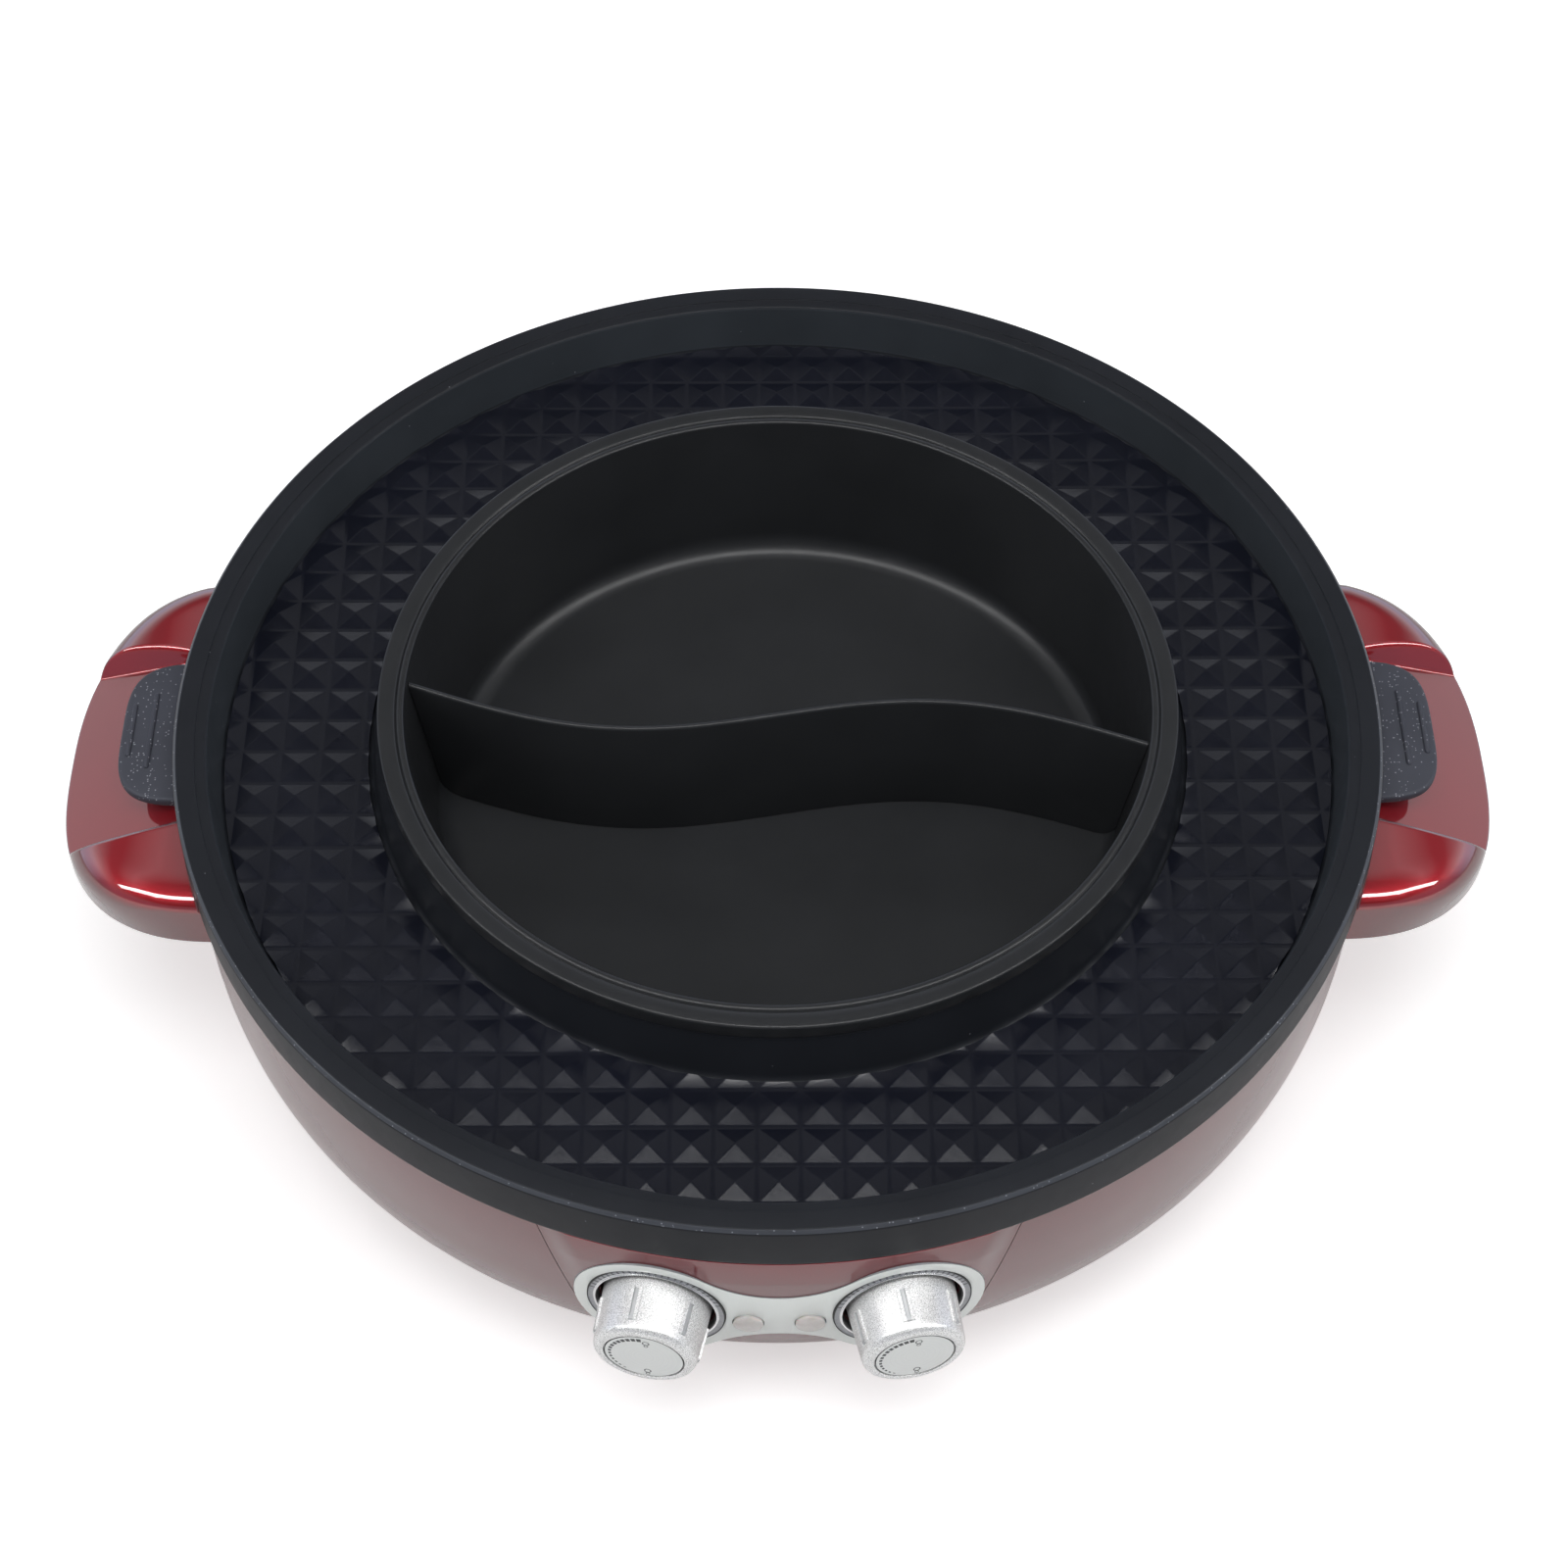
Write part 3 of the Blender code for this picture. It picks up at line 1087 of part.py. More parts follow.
def make_shield(axis, holes):
    t = SHIELD_THICKNESS
    flange_top = HOUSING_LIP_Z - HOUSING_WALL - SEAT_GAP
    wall = SHIELD_WALL_RADIUS
    well = SHIELD_WELL_RADIUS
    profile = ((SHIELD_FLANGE_RADIUS, flange_top), (SHIELD_FLANGE_RADIUS, flange_top - t),
               (wall, flange_top - t), (wall, SHIELD_DISH_Z), (well, SHIELD_DISH_Z),
               (well, SHIELD_WELL_Z), (SHIELD_HOLE_RADIUS, SHIELD_WELL_Z),
               (SHIELD_HOLE_RADIUS, SHIELD_WELL_Z + t), (well - t, SHIELD_WELL_Z + t),
               (well - t, SHIELD_DISH_Z + t), (wall - t, SHIELD_DISH_Z + t), (wall - t, flange_top))
    shield = add_object("heat_shield", turned(profile), axis, (STEEL, 0.3, 1.0))
    for index, centre in enumerate(holes):
        hole = rod(ELEMENT_RADIUS + 4 * RUNNING_GAP, SHIELD_DISH_Z - OVERRUN,
                   SHIELD_DISH_Z + OVERRUN, centre=centre)
        boolean(shield, add_object(f"shield_hole_{index + 1}", hole, axis))
    return shield


def bend(start, corner, end, radius, steps=3):
    # Points that round a right-angled corner
    def toward(point):
        length = sqrt(sum((p - c)**2 for p, c in zip(point, corner)))
        return [(p - c) / length for p, c in zip(point, corner)]
    back, ahead = toward(start), toward(end)
    points = []
    for step in range(steps + 1):
        turn = pi / 2 * step / steps
        points.append(tuple(c + radius * ((1 - sin(turn)) * b + (1 - cos(turn)) * a)
                            for c, b, a in zip(corner, back, ahead)))
    return points


def ring_route(ring, height, gap_angle, count):
    # Round the ring from one side of a gap at the back to the other
    points = []
    for step in range(count + 1):
        turn = pi + gap_angle + (2 * pi - 2 * gap_angle) * step / count
        points.append((*outward(turn, ring), height))
    return points


def make_grill_element(axis):
    ring = ring_route(GRILL_ELEMENT_RING, GRILL_ELEMENT_Z, GRILL_ELEMENT_END_ANGLE,
                      GRILL_RING_POINTS)
    end_z = SHIELD_DISH_Z - GRILL_ELEMENT_END_BELOW_DISH
    start = (*ring[0][:2], end_z)
    end = (*ring[-1][:2], end_z)
    radius = 2 * ELEMENT_RADIUS
    first = bend(start, ring[0], ring[1], radius)
    last = bend(ring[-2], ring[-1], end, radius)
    points = [start] + first + ring[1:-1] + last + [end]
    tube("grill_element", points, ELEMENT_RADIUS, axis, (STEEL, 0.5, 0.8))
    return [start[:2], end[:2]]


def make_saddles(axis):
    top = GRILL_ELEMENT_Z - SADDLE_TOP_BELOW_ELEMENT
    base = SHIELD_DISH_Z + SHIELD_THICKNESS + SEAT_GAP
    for index in range(SADDLE_COUNT):
        turn = 2 * pi * index / SADDLE_COUNT
        place = empty(f"saddle_place_{index + 1}", axis, rotation=(0, 0, turn))
        body = block((-SADDLE_WIDTH / 2, -GRILL_ELEMENT_RING - SADDLE_LENGTH / 2, base),
                     (SADDLE_WIDTH / 2, -GRILL_ELEMENT_RING + SADDLE_LENGTH / 2, top))
        saddle = add_object(f"element_saddle_{index + 1}", body, place, (CERAMIC, 0.6, 0.0))
        groove_radius = ELEMENT_RADIUS + SEAT_GAP
        groove = turned([(GRILL_ELEMENT_RING + x, GRILL_ELEMENT_Z + z) for x, z in
                         arc((0, 0), groove_radius, 0, -pi, 6)]
                        + [(GRILL_ELEMENT_RING - groove_radius, GRILL_ELEMENT_Z + OVERRUN),
                           (GRILL_ELEMENT_RING + groove_radius, GRILL_ELEMENT_Z + OVERRUN)])
        boolean(saddle, add_object(f"saddle_groove_{index + 1}", groove, axis))


def make_hot_plate(axis):
    low = HOT_PLATE_Z - HOT_PLATE_THICKNESS
    profile = ((HOT_PLATE_BORE, HOT_PLATE_Z), (HOT_PLATE_RADIUS, HOT_PLATE_Z),
               (HOT_PLATE_RADIUS, low), (HOT_PLATE_BORE, low))
    add_object("hot_plate", turned(profile), axis, (STEEL, 0.45, 0.9))
    for index in range(POST_COUNT):
        turn = 2 * pi * index / POST_COUNT
        post = rod(POST_RADIUS, SHIELD_WELL_Z + SHIELD_THICKNESS + SEAT_GAP, low - SEAT_GAP,
                   centre=outward(turn, POST_RING))
        add_object(f"plate_post_{index + 1}", post, axis, (STEEL, 0.4, 1.0))
    top = HOT_PLATE_Z
    flange = low - SEAT_GAP
    profile = ((0, top), (SENSOR_RADIUS, top), (SENSOR_RADIUS, flange),
               (SENSOR_FLANGE_RADIUS, flange), (SENSOR_FLANGE_RADIUS, flange - SENSOR_FLANGE),
               (SENSOR_RADIUS, flange - SENSOR_FLANGE), (SENSOR_RADIUS, top - SENSOR_LENGTH),
               (0, top - SENSOR_LENGTH))
    add_object("plate_sensor", turned(profile, 2 * SCREW_STEPS), axis, (STEEL, 0.3, 1.0))


def make_pot_element(axis):
    height = HOT_PLATE_Z - HOT_PLATE_THICKNESS - SEAT_GAP - ELEMENT_RADIUS
    ring = ring_route(POT_ELEMENT_RING, height, POT_ELEMENT_END_ANGLE, POT_RING_POINTS)
    radius = 2 * ELEMENT_RADIUS
    legs = []
    for end, after in ((ring[0], ring[1]), (ring[-1], ring[-2])):
        share = POT_ELEMENT_END_RADIUS / POT_ELEMENT_RING
        knee = (end[0] * share, end[1] * share, height)
        foot = (*knee[:2], SHIELD_WELL_Z - POT_ELEMENT_END_BELOW_WELL)
        legs.append([foot] + bend(foot, knee, end, radius) + bend(knee, end, after, radius))
    points = legs[0] + ring[2:-2] + list(reversed(legs[1]))
    tube("pot_element", points, ELEMENT_RADIUS, axis, (STEEL, 0.5, 0.8))


# Base

def make_base(axis, housing):
    cover = add_object("base_cover", rod(COVER_RADIUS, COVER_Z, COVER_Z + COVER_THICKNESS,
                                         ROUND_STEPS), axis, (BLACK, 0.5, 0.0))
    low = COVER_Z - OVERRUN
    high = HOUSING_BASE_Z + HOUSING_WALL + OVERRUN
    for index in range(4):
        turn = pi / 2 * index
        centre = outward(turn, COVER_SCREW_RING)
        name = f"cover_screw_{index + 1}"
        screw(name, axis, COVER_Z - SEAT_GAP, COVER_SCREW_LENGTH, centre=centre)
        hole = add_object(f"{name}_hole", rod(SMALL_SCREW_RADIUS + RUNNING_GAP, low, high,
                                              centre=centre), axis)
        boolean(cover, hole)
        boolean(housing, hole)
        foot_place = outward(turn + pi / 4, FOOT_RING)
        make_foot(index + 1, axis, foot_place)
        peg_hole = rod(FOOT_PEG_RADIUS + RUNNING_GAP, low, high, centre=foot_place)
        boolean(cover, add_object(f"foot_hole_{index + 1}", peg_hole, axis))
    for index in range(VENT_COUNT):
        place = VENT_SPACING * (index - (VENT_COUNT - 1) / 2)
        slot = block((place - VENT_WIDTH / 2, -VENT_LENGTH / 2, low),
                     (place + VENT_WIDTH / 2, VENT_LENGTH / 2, high))
        boolean(cover, add_object(f"vent_{index + 1}", slot, axis))


def make_foot(number, axis, centre):
    edge = FOOT_TOP_RADIUS - FOOT_BOTTOM_RADIUS
    peg_top = COVER_Z + COVER_THICKNESS + FOOT_PEG_ABOVE_COVER
    profile = ((0, 0), (FOOT_BOTTOM_RADIUS - edge / 2, 0), (FOOT_BOTTOM_RADIUS, edge / 2),
               (FOOT_TOP_RADIUS, FOOT_HEIGHT), (FOOT_PEG_RADIUS, FOOT_HEIGHT),
               (FOOT_PEG_RADIUS, peg_top), (0, peg_top))
    data = turned(profile, SMALL_STEPS)
    bmesh.ops.translate(data, verts=data.verts, vec=(centre[0], centre[1], 0))
    add_object(f"rubber_foot_{number}", data, axis, (BLACK, 0.8, 0.0))


# Power inlet, terminal block and wires

def inlet_box(width, height, near, far):
    return block((-width / 2, near, INLET_Z - height / 2), (width / 2, far, INLET_Z + height / 2))


def make_inlet(axis, housing):
    back = INLET_FACE - INLET_BODY_DEPTH
    flange_back = INLET_FACE - INLET_FLANGE_THICKNESS
    inlet = add_object("power_inlet", inlet_box(INLET_BODY_WIDTH, INLET_BODY_HEIGHT, back,
                                                INLET_FACE), axis, (BLACK, 0.4, 0.0))
    flange = add_object("inlet_flange", inlet_box(INLET_FLANGE_WIDTH, INLET_FLANGE_HEIGHT,
                                                  flange_back, INLET_FACE), axis)
    boolean(inlet, flange, "UNION")
    socket = inlet_box(INLET_SOCKET_WIDTH, INLET_SOCKET_HEIGHT, INLET_FACE - INLET_SOCKET_DEPTH,
                       INLET_FACE + OVERRUN)
    boolean(inlet, add_object("inlet_socket", socket, axis))
    gap = RUNNING_GAP
    hole = inlet_box(INLET_BODY_WIDTH + 2 * gap, INLET_BODY_HEIGHT + 2 * gap,
                     INLET_FACE - INLET_SOCKET_DEPTH, INLET_FACE + OVERRUN)
    boolean(housing, add_object("inlet_window", hole, axis))
    ends = {}
    for name, place in (("live", -1), ("earth", 0), ("neutral", 1)):
        x = place * PIN_SPACING
        z = INLET_Z + (PIN_RISE if place == 0 else -PIN_RISE)
        pin = block((x - PIN_WIDTH / 2, back - PIN_TAIL, z - PIN_HEIGHT / 2),
                    (x + PIN_WIDTH / 2, INLET_FACE - PIN_BELOW_FACE, z + PIN_HEIGHT / 2))
        add_object(f"inlet_pin_{name}", pin, axis, (BRASS, 0.3, 1.0))
        slot = block((x - PIN_WIDTH / 2 - gap, back - OVERRUN, z - PIN_HEIGHT / 2 - gap),
                     (x + PIN_WIDTH / 2 + gap, INLET_FACE - PIN_BELOW_FACE,
                      z + PIN_HEIGHT / 2 + gap))
        boolean(inlet, add_object(f"inlet_pin_slot_{name}", slot, axis))
        ends[name] = (x, back - PIN_TAIL - SEAT_GAP, z)
    return ends


def make_terminal_block(axis):
    low = COVER_Z + COVER_THICKNESS + SEAT_GAP
    body = block((-BLOCK_LENGTH / 2, BLOCK_PLACE - BLOCK_WIDTH / 2, low),
                 (BLOCK_LENGTH / 2, BLOCK_PLACE + BLOCK_WIDTH / 2, low + BLOCK_HEIGHT))
    add_object("terminal_block", body, axis, (CERAMIC, 0.6, 0.0))


def make_wires(axis, pin_ends):
    finish = (COPPER_RED, 0.5, 0.0)
    block_middle = COVER_Z + COVER_THICKNESS + SEAT_GAP + BLOCK_HEIGHT / 2
    run = (SHIELD_WELL_RADIUS + GRILL_ELEMENT_RING) / 2
    block_back = BLOCK_PLACE + BLOCK_WIDTH / 2 + SEAT_GAP
    pin = pin_ends["live"]
    live = [pin, (pin[0], pin[1] - WIRE_STANDOFF, pin[2]),
            (pin[0], run + WIRE_STANDOFF, (pin[2] + block_middle) / 2),
            (pin[0], block_back + 2 * WIRE_STANDOFF, block_middle),
            (pin[0], block_back + WIRE_STANDOFF, block_middle), (pin[0], block_back, block_middle)]
    tube("wire_live", smooth_route(live), WIRE_RADIUS, axis, finish)
    can_back = THERMOSTAT_FRONT - THERMOSTAT_DEPTH - SEAT_GAP
    for side, sign in (("left", -1), ("right", 1)):
        start = sign * (BLOCK_LENGTH / 2 + SEAT_GAP)
        angle = sign * KNOB_ANGLE
        route = [(start, BLOCK_PLACE, block_middle),
                 (start + sign * WIRE_STANDOFF, BLOCK_PLACE, block_middle),
                 (sign * FOOT_RING, BLOCK_PLACE / 2, block_middle),
                 (sign * FOOT_RING, -BLOCK_PLACE / 2, block_middle)]
        route.append((*outward(2.2 * angle, run), block_middle + 2 * WIRE_STANDOFF))
        route.append((*outward(angle, can_back - 2 * WIRE_STANDOFF), KNOB_Z - WIRE_STANDOFF))
        route.append((*outward(angle, can_back - WIRE_STANDOFF), KNOB_Z))
        route.append((*outward(angle, can_back), KNOB_Z))
        tube(f"wire_{side}", smooth_route(route), WIRE_RADIUS, axis, finish)


def make_controls(axis):
    knob_frames, lamp_frames = [], []
    for side, sign in (("left", -1), ("right", 1)):
        frame = front_frame(f"knob_axis_{side}", axis, sign * KNOB_ANGLE, KNOB_Z)
        knob_frames.append(frame)
        make_knob(side, frame)
        make_cap(side, frame)
        make_shaft(side, frame)
        make_ring(side, frame)
        make_thermostat(side, frame)
        make_nut(side, frame)
        lamp_frame = front_frame(f"lamp_axis_{side}", axis, sign * LAMP_ANGLE, LAMP_Z)
        lamp_frames.append(lamp_frame)
        make_lens(side, lamp_frame)
        make_lamp(side, lamp_frame)
    middle_frame = front_frame("front_middle", axis, 0, 0)
    make_fascia(axis, knob_frames, lamp_frames, middle_frame)
    make_trim(axis, knob_frames, lamp_frames)
    make_bracket(axis, knob_frames, lamp_frames, middle_frame)
    for index, side in enumerate((-1, 1)):
        screw(f"bracket_screw_{index + 1}", middle_frame, BRACKET_RADIUS - SEAT_GAP,
              BRACKET_SCREW_LENGTH, centre=(0, KNOB_Z + side * FASCIA_POST_SPACING / 2))


def main():
    clear_scene()
    axis = empty("pan_axis", location=(0, AXIS_Y, 0))
    housing = make_housing(axis)
    make_controls(axis)
    frames = make_handle_screws(axis, housing)
    for side in ("left", "right"):
        make_handle(side, axis, frames[side])
    make_pan(axis)
    make_pot(axis)
    make_divider(axis)
    make_shield(axis, make_grill_element(axis))
    make_saddles(axis)
    make_hot_plate(axis)
    make_pot_element(axis)
    make_base(axis, housing)
    pin_ends = make_inlet(axis, housing)
    make_terminal_block(axis)
    make_wires(axis, pin_ends)


main()
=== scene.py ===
from math import asin, atan2, cos, hypot, pi, radians, sin

import bpy
import bmesh
from mathutils import Euler, Matrix, Vector


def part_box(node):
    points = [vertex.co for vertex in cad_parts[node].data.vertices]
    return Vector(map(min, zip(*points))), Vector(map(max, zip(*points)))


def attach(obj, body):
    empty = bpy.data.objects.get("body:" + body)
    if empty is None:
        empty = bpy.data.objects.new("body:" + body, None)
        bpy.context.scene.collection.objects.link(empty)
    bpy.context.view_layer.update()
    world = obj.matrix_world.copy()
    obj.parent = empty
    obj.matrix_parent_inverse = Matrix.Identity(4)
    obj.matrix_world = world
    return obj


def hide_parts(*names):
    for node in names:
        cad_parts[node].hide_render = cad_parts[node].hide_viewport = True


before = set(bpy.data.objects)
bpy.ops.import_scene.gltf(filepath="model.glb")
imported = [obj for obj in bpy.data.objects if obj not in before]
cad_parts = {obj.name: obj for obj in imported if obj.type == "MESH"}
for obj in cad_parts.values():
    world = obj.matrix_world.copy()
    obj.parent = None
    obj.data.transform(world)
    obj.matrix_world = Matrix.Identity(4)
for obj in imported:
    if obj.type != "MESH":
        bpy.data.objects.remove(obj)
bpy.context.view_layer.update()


def low(node):
    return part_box(node)[0]


def high(node):
    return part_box(node)[1]


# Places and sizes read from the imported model
AXIS_Y = (low("hot_pot").y + high("hot_pot").y) / 2
AXIS = Vector((0, AXIS_Y, 0))
PAN_RADIUS = high("grill_pan").y - AXIS_Y
PAN_RIM_Z = high("grill_pan").z
EAR_REACH = high("grill_pan").x
POT_RADIUS = high("hot_pot").x
POT_TOP_Z = high("hot_pot").z
POT_BASE_Z = low("hot_pot").z
DIVIDER_TOP_Z = high("pot_divider").z
BELLY_RADIUS = high("housing_bowl").x
LIP_Z = high("housing_bowl").z
BASE_Z = low("housing_bowl").z
TRIM_LOW, TRIM_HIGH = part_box("control_trim")
KNOB_Z = (low("knob_left").z + high("knob_left").z) / 2
LAMP_Z = (low("lamp_lens_left").z + high("lamp_lens_left").z) / 2
WING_REACH = high("handle_right").x
WING_BOTTOM_Z = low("handle_right").z
WING_HALF_WIDTH = (high("handle_right").y - low("handle_right").y) / 2
SHIELD_RADIUS = high("heat_shield").x
SHIELD_TOP_Z = high("heat_shield").z
SHIELD_LOW_Z = low("heat_shield").z
PLATE_RADIUS = high("hot_plate").x
PLATE_TOP_Z = high("hot_plate").z
PLATE_LOW_Z = low("hot_plate").z

# Seats, seams and cuts
SEAT_GAP = 0.0003
OVERRUN = 0.004

# Housing bowl
LIP_ABOVE_BELLY = 0.0282
LIP_INSET = 0.0016
LIP_WIDTH = 0.0118
LIP_ROUND = 0.001
WALL = 0.0025
INLET_WINDOW_INSET = 0.0039
SPREAD = 0.0454
FLAT_WIDTH = 0.028
DROP_POWER = 2.9

# Front fascia and the plate on it
FASCIA_SIDE_MARGIN = 0.0023
FASCIA_BELOW_KNOBS = 0.039
FASCIA_SLOPE_SHARE = 0.278
FASCIA_SEAM = 0.0003
FASCIA_SECTOR = radians(26)
TRIM_SECTOR = radians(22)
PAD_MARGIN = -0.0003
TRIM_THICKNESS = 0.0013
TRIM_WAIST_ABOVE = 0.0138
TRIM_WAIST_BELOW = 0.0114
TRIM_EDGE = 0.0004
PLATE_PROUD = 0.0004
SWELL_FROM_SEAM = 0.012
SWELL_FADE = 0.02
SWELL_BELOW_LIP = 0.0125
SWELL_FALL_SHARE = 0.45

# Knobs, rings, caps and lenses
KNOB_BASE_RADIUS = 0.0194
KNOB_FRONT_RADIUS = 0.018
KNOB_LENGTH = 0.0253
KNOB_FRONT_FILLET = 0.0028
KNOB_WALL = 0.002
KNOB_HUB_RADIUS = 0.0065
KNOB_BEHIND_RING = 0.0026
KNOB_CLEARANCE = 0.001
KNOB_FACE_THICKNESS = 0.0036
RIB_COUNT = 6
RIB_HALF_WIDTH = 0.0021
RIB_RAIL = 0.0011
RIB_EDGE = 0.0002
RIB_HEIGHT = 0.0007
RIB_CHANNEL_HEIGHT = 0
RIB_FROM_BACK = 0.009
RIB_FROM_FACE = 0.0042
LEFT_RIB_TURN = radians(105)
RIGHT_RIB_TURN = radians(95)
CAP_INSET = 0.0041
CAP_THICKNESS = 0.0006
CAP_RECESS = 0.0008
PRINT_DEPTH = 0.0001
PRINT_HEIGHT = 0.00006
DASH_COUNT = 15
DASH_START = radians(97)
DASH_SWEEP = radians(138)
DASH_HALF_ANGLE = radians(3.9)
DASH_NARROWING = radians(1.5)
DASH_REACH_SHARE = 0.9
DASH_WIDTH_SHARE = 0.14
DASH_FALL_SHARE = 0.11
MARK_REACH_SHARE = 0.72
MARK_ASIDE = 0.001
MARK_RADIUS = 0.0013
MARK_LINE = 0.0004
DOT_BELOW_MARK = 0.002
DOT_RADIUS = 0.0008
DOT_LINE = 0.0003
RING_BORE = 0.0208
RING_WIDTH = 0.0036
RING_THICKNESS = 0.0026
RING_BELOW_TRIM = 0.001
RING_BEAD_WIDTH = 0.0007
RING_BEAD_FROM_BORE = 0.0005
RING_BEAD_STEP = 0.0001
RING_BEAD_FOOT = 0.0004
RING_STEP = 0.0002
RING_LAND = 0.0004
RING_LAND_SLOPE = 0.00005
RING_BORE_STEP = 0.0009
RING_PAINT_MARGIN = 0.0001
RING_TICKS_ABOVE = 0.006
LENS_RADIUS = 0.00525
LENS_DOME = 0.0006
LENS_HEAD = 0.0014
LENS_STEM = 0.0039
LENS_SCATTER = 0.002

# Wing handles
WING_ROOT = 0.205
WING_POWER = 2.6
WING_TOP_ABOVE_LIP = 0.0048
WING_TOP_FALL = 0.013
WING_EDGE_BELOW_LIP = 0.0014
WING_EDGE_FALL = 0.0153
WING_ROUND = 0.012
WING_ROUND_POWER = 2.8
WING_WALL = 0.004
WING_INNER_WALL = 0.0095
WING_ROOF = 0.003
TONGUE_HALF_WIDTH = 0.0432
TONGUE_ROOT_HALF_WIDTH = 0.0375
TONGUE_LEAN_SHARE = 0.57
TONGUE_DROP = 0.0145
TONGUE_FROM_PAN = 0.003
TONGUE_FROM_REACH = 0.0033
TONGUE_FOOT_ROUND = 0.0012
SHOULDER_ROUND = 0.0026
SHOULDER_PITCH = 0.00035
PAN_TO_WING_GAP = 0.0006

# Grill pan
PAN_COLLAR_BORE = 0.1436
PAN_COLLAR_TOP = 0.1482
PAN_COLLAR_FOOT = 0.1528
PAN_COLLAR_BELOW_RIM = 0.001
PAN_WALL_FOOT = 0.2094
PAN_WALL_TOP = 0.2124
PAN_RIM_STEP_RADIUS = 0.2167
PAN_FLOOR_Z = 0.108
PAN_GROOVE = 0.0012
PAN_GROOVE_WIDTH = 0.005
PAN_FILLET = 0.002
PAN_EDGE_ROUND = 0.0005
PAN_RIM_ROUND = 0.0008
PAN_SKIRT_ROUND = 0.001
PAN_SKIRT_EDGE_ROUND = 0.0006
PAN_COLLAR_ROUND = 0.0015
PAN_COLLAR_FOOT_ROUND = 0.0025
PAN_FIELD_ROUND = 0.0004
PAN_WALL_FOOT_ROUND = 0.003
PAN_WALL_TOP_ROUND = 0.0012
PAN_WALL_BELOW_RIM = 0.001
PAN_RIM_STEP_DEPTH = 0.0005
PAN_RIM_STEP_ROUND = 0.0003
PAN_RIB_FROM_LIP = 0.001
PAN_RIB_WIDTH = 0.003
PAN_CHAMFER = 0.0014
PAN_SKIRT_RADIUS = 0.223
PAN_SKIRT_TAPER = 0.003
PYRAMID_PITCH = 0.015
PYRAMID_BASE = 0.0136
PYRAMID_HEIGHT = 0.0019
PYRAMID_EDGE = 0.00035
VALLEY_RISE = 0.00004
FIELD_INNER = 0.1545
FIELD_OUTER = 0.2086
FIELD_BEVEL = 0.0008
EAR_ROOT = 0.214
EAR_HALF_WIDTH = 0.0335
EAR_TOP_Z = 0.1115
EAR_THICKNESS = 0.004
EAR_POWER = 3.8
EAR_ROUND = 0.0012
EAR_BARS = ((0.2367, 0.0181), (0.2443, 0.0126))
EAR_BAR_RADIUS = 0.0011
EAR_BAR_HEIGHT = 0.0009

# Hot pot
POT_MOUTH = 0.139
POT_WALL = 0.0024
POT_BASE_RADIUS = 0.134
POT_CORNER = 0.011
POT_FLOOR = 0.0035
POT_EDGE = 0.0012
POT_BEAD_WIDTH = 0.0028
POT_BEAD_GROOVE = 0.0009
POT_GROOVE_FLAT = 0.0003
POT_GROOVE_SLOPE = 0.0005
POT_GROOVE_LIP = 0.0003
DIVIDER_THICKNESS = 0.0024
DIVIDER_WAVE = 0.0123
DIVIDER_OFFSET = -0.008
DIVIDER_LEAN_SHARE = -0.1

# Heat shield and hot plate
SHIELD_THICKNESS = 0.001
SHIELD_FROM_LIP_BORE = 0.0055
SHIELD_WELL_CLEARANCE = 0.017
SHIELD_HOLE_RADIUS = 0.04
SHIELD_DISH_BELOW_LIP = 0.0187
SHIELD_TIGHT_ROUND = 0.002
SHIELD_WIDE_ROUND = 0.003
PLATE_BORE = 0.012
PLATE_BORE_ROUND = 0.0006
PLATE_TOP_ROUND = 0.0012
PLATE_FOOT_ROUND = 0.001
PLATE_GROOVE_SHARES = (0.34, 0.54, 0.74)
PLATE_GROOVE_DEPTH = 0.0008
PLATE_GROOVE_HALF_WIDTH = 0.0015
PLATE_GROOVE_EDGE_ROUND = 0.0003
PLATE_GROOVE_ROUND = 0.0006

# Depths of the grain in the materials
COARSE_GRAIN_DEPTH = 0.0002
BLASTED_GRAIN_DEPTH = 0.00015
FINE_GRAIN_DEPTH = 0.0001

# Camera, in the photograph's own pixels where it says so
PICTURE_PIXELS = 1600
FOCAL_PIXELS = 3053.1
SENSOR_MM = 36.0
CAMERA_ELEVATION = radians(50.869)
CAMERA_DISTANCE = 1.119
CAMERA_TILT = radians(1.583)
CAMERA_YAW = radians(0.19)

# Studio: places and sizes in metres, powers in watts
FLOOR_SIZE = 12.0
WHITE_FROM = 0.7
FLOOR_ALBEDO = 0.9
FLOOR_BOUNCE_LOSS = 0.4
FLOOR_GLOW = 0.4
FLOOR_FAR_GLOW = 0.65
SKY_STRENGTH = 1.6
SOFT_STRENGTH = 0.42
KEY_PLACE = (0.05, -0.4, 1.9)
KEY_SIZE = (1.6, 0.9)
KEY_POWER = 17
STRIP_PLACE = (0, -0.25, 1.9)
STRIP_SIZE = (6.5, 0.4)
STRIP_POWER = 100
SIDE_ASIDE = 1.5
SIDE_FRONT = 0.7
SIDE_HEIGHT = 1.1
SIDE_SIZE = (0.9, 1.2)
SIDE_POWER = 9

ROUND_STEPS = 288
FINE_STEPS = 96
SMALL_STEPS = 48

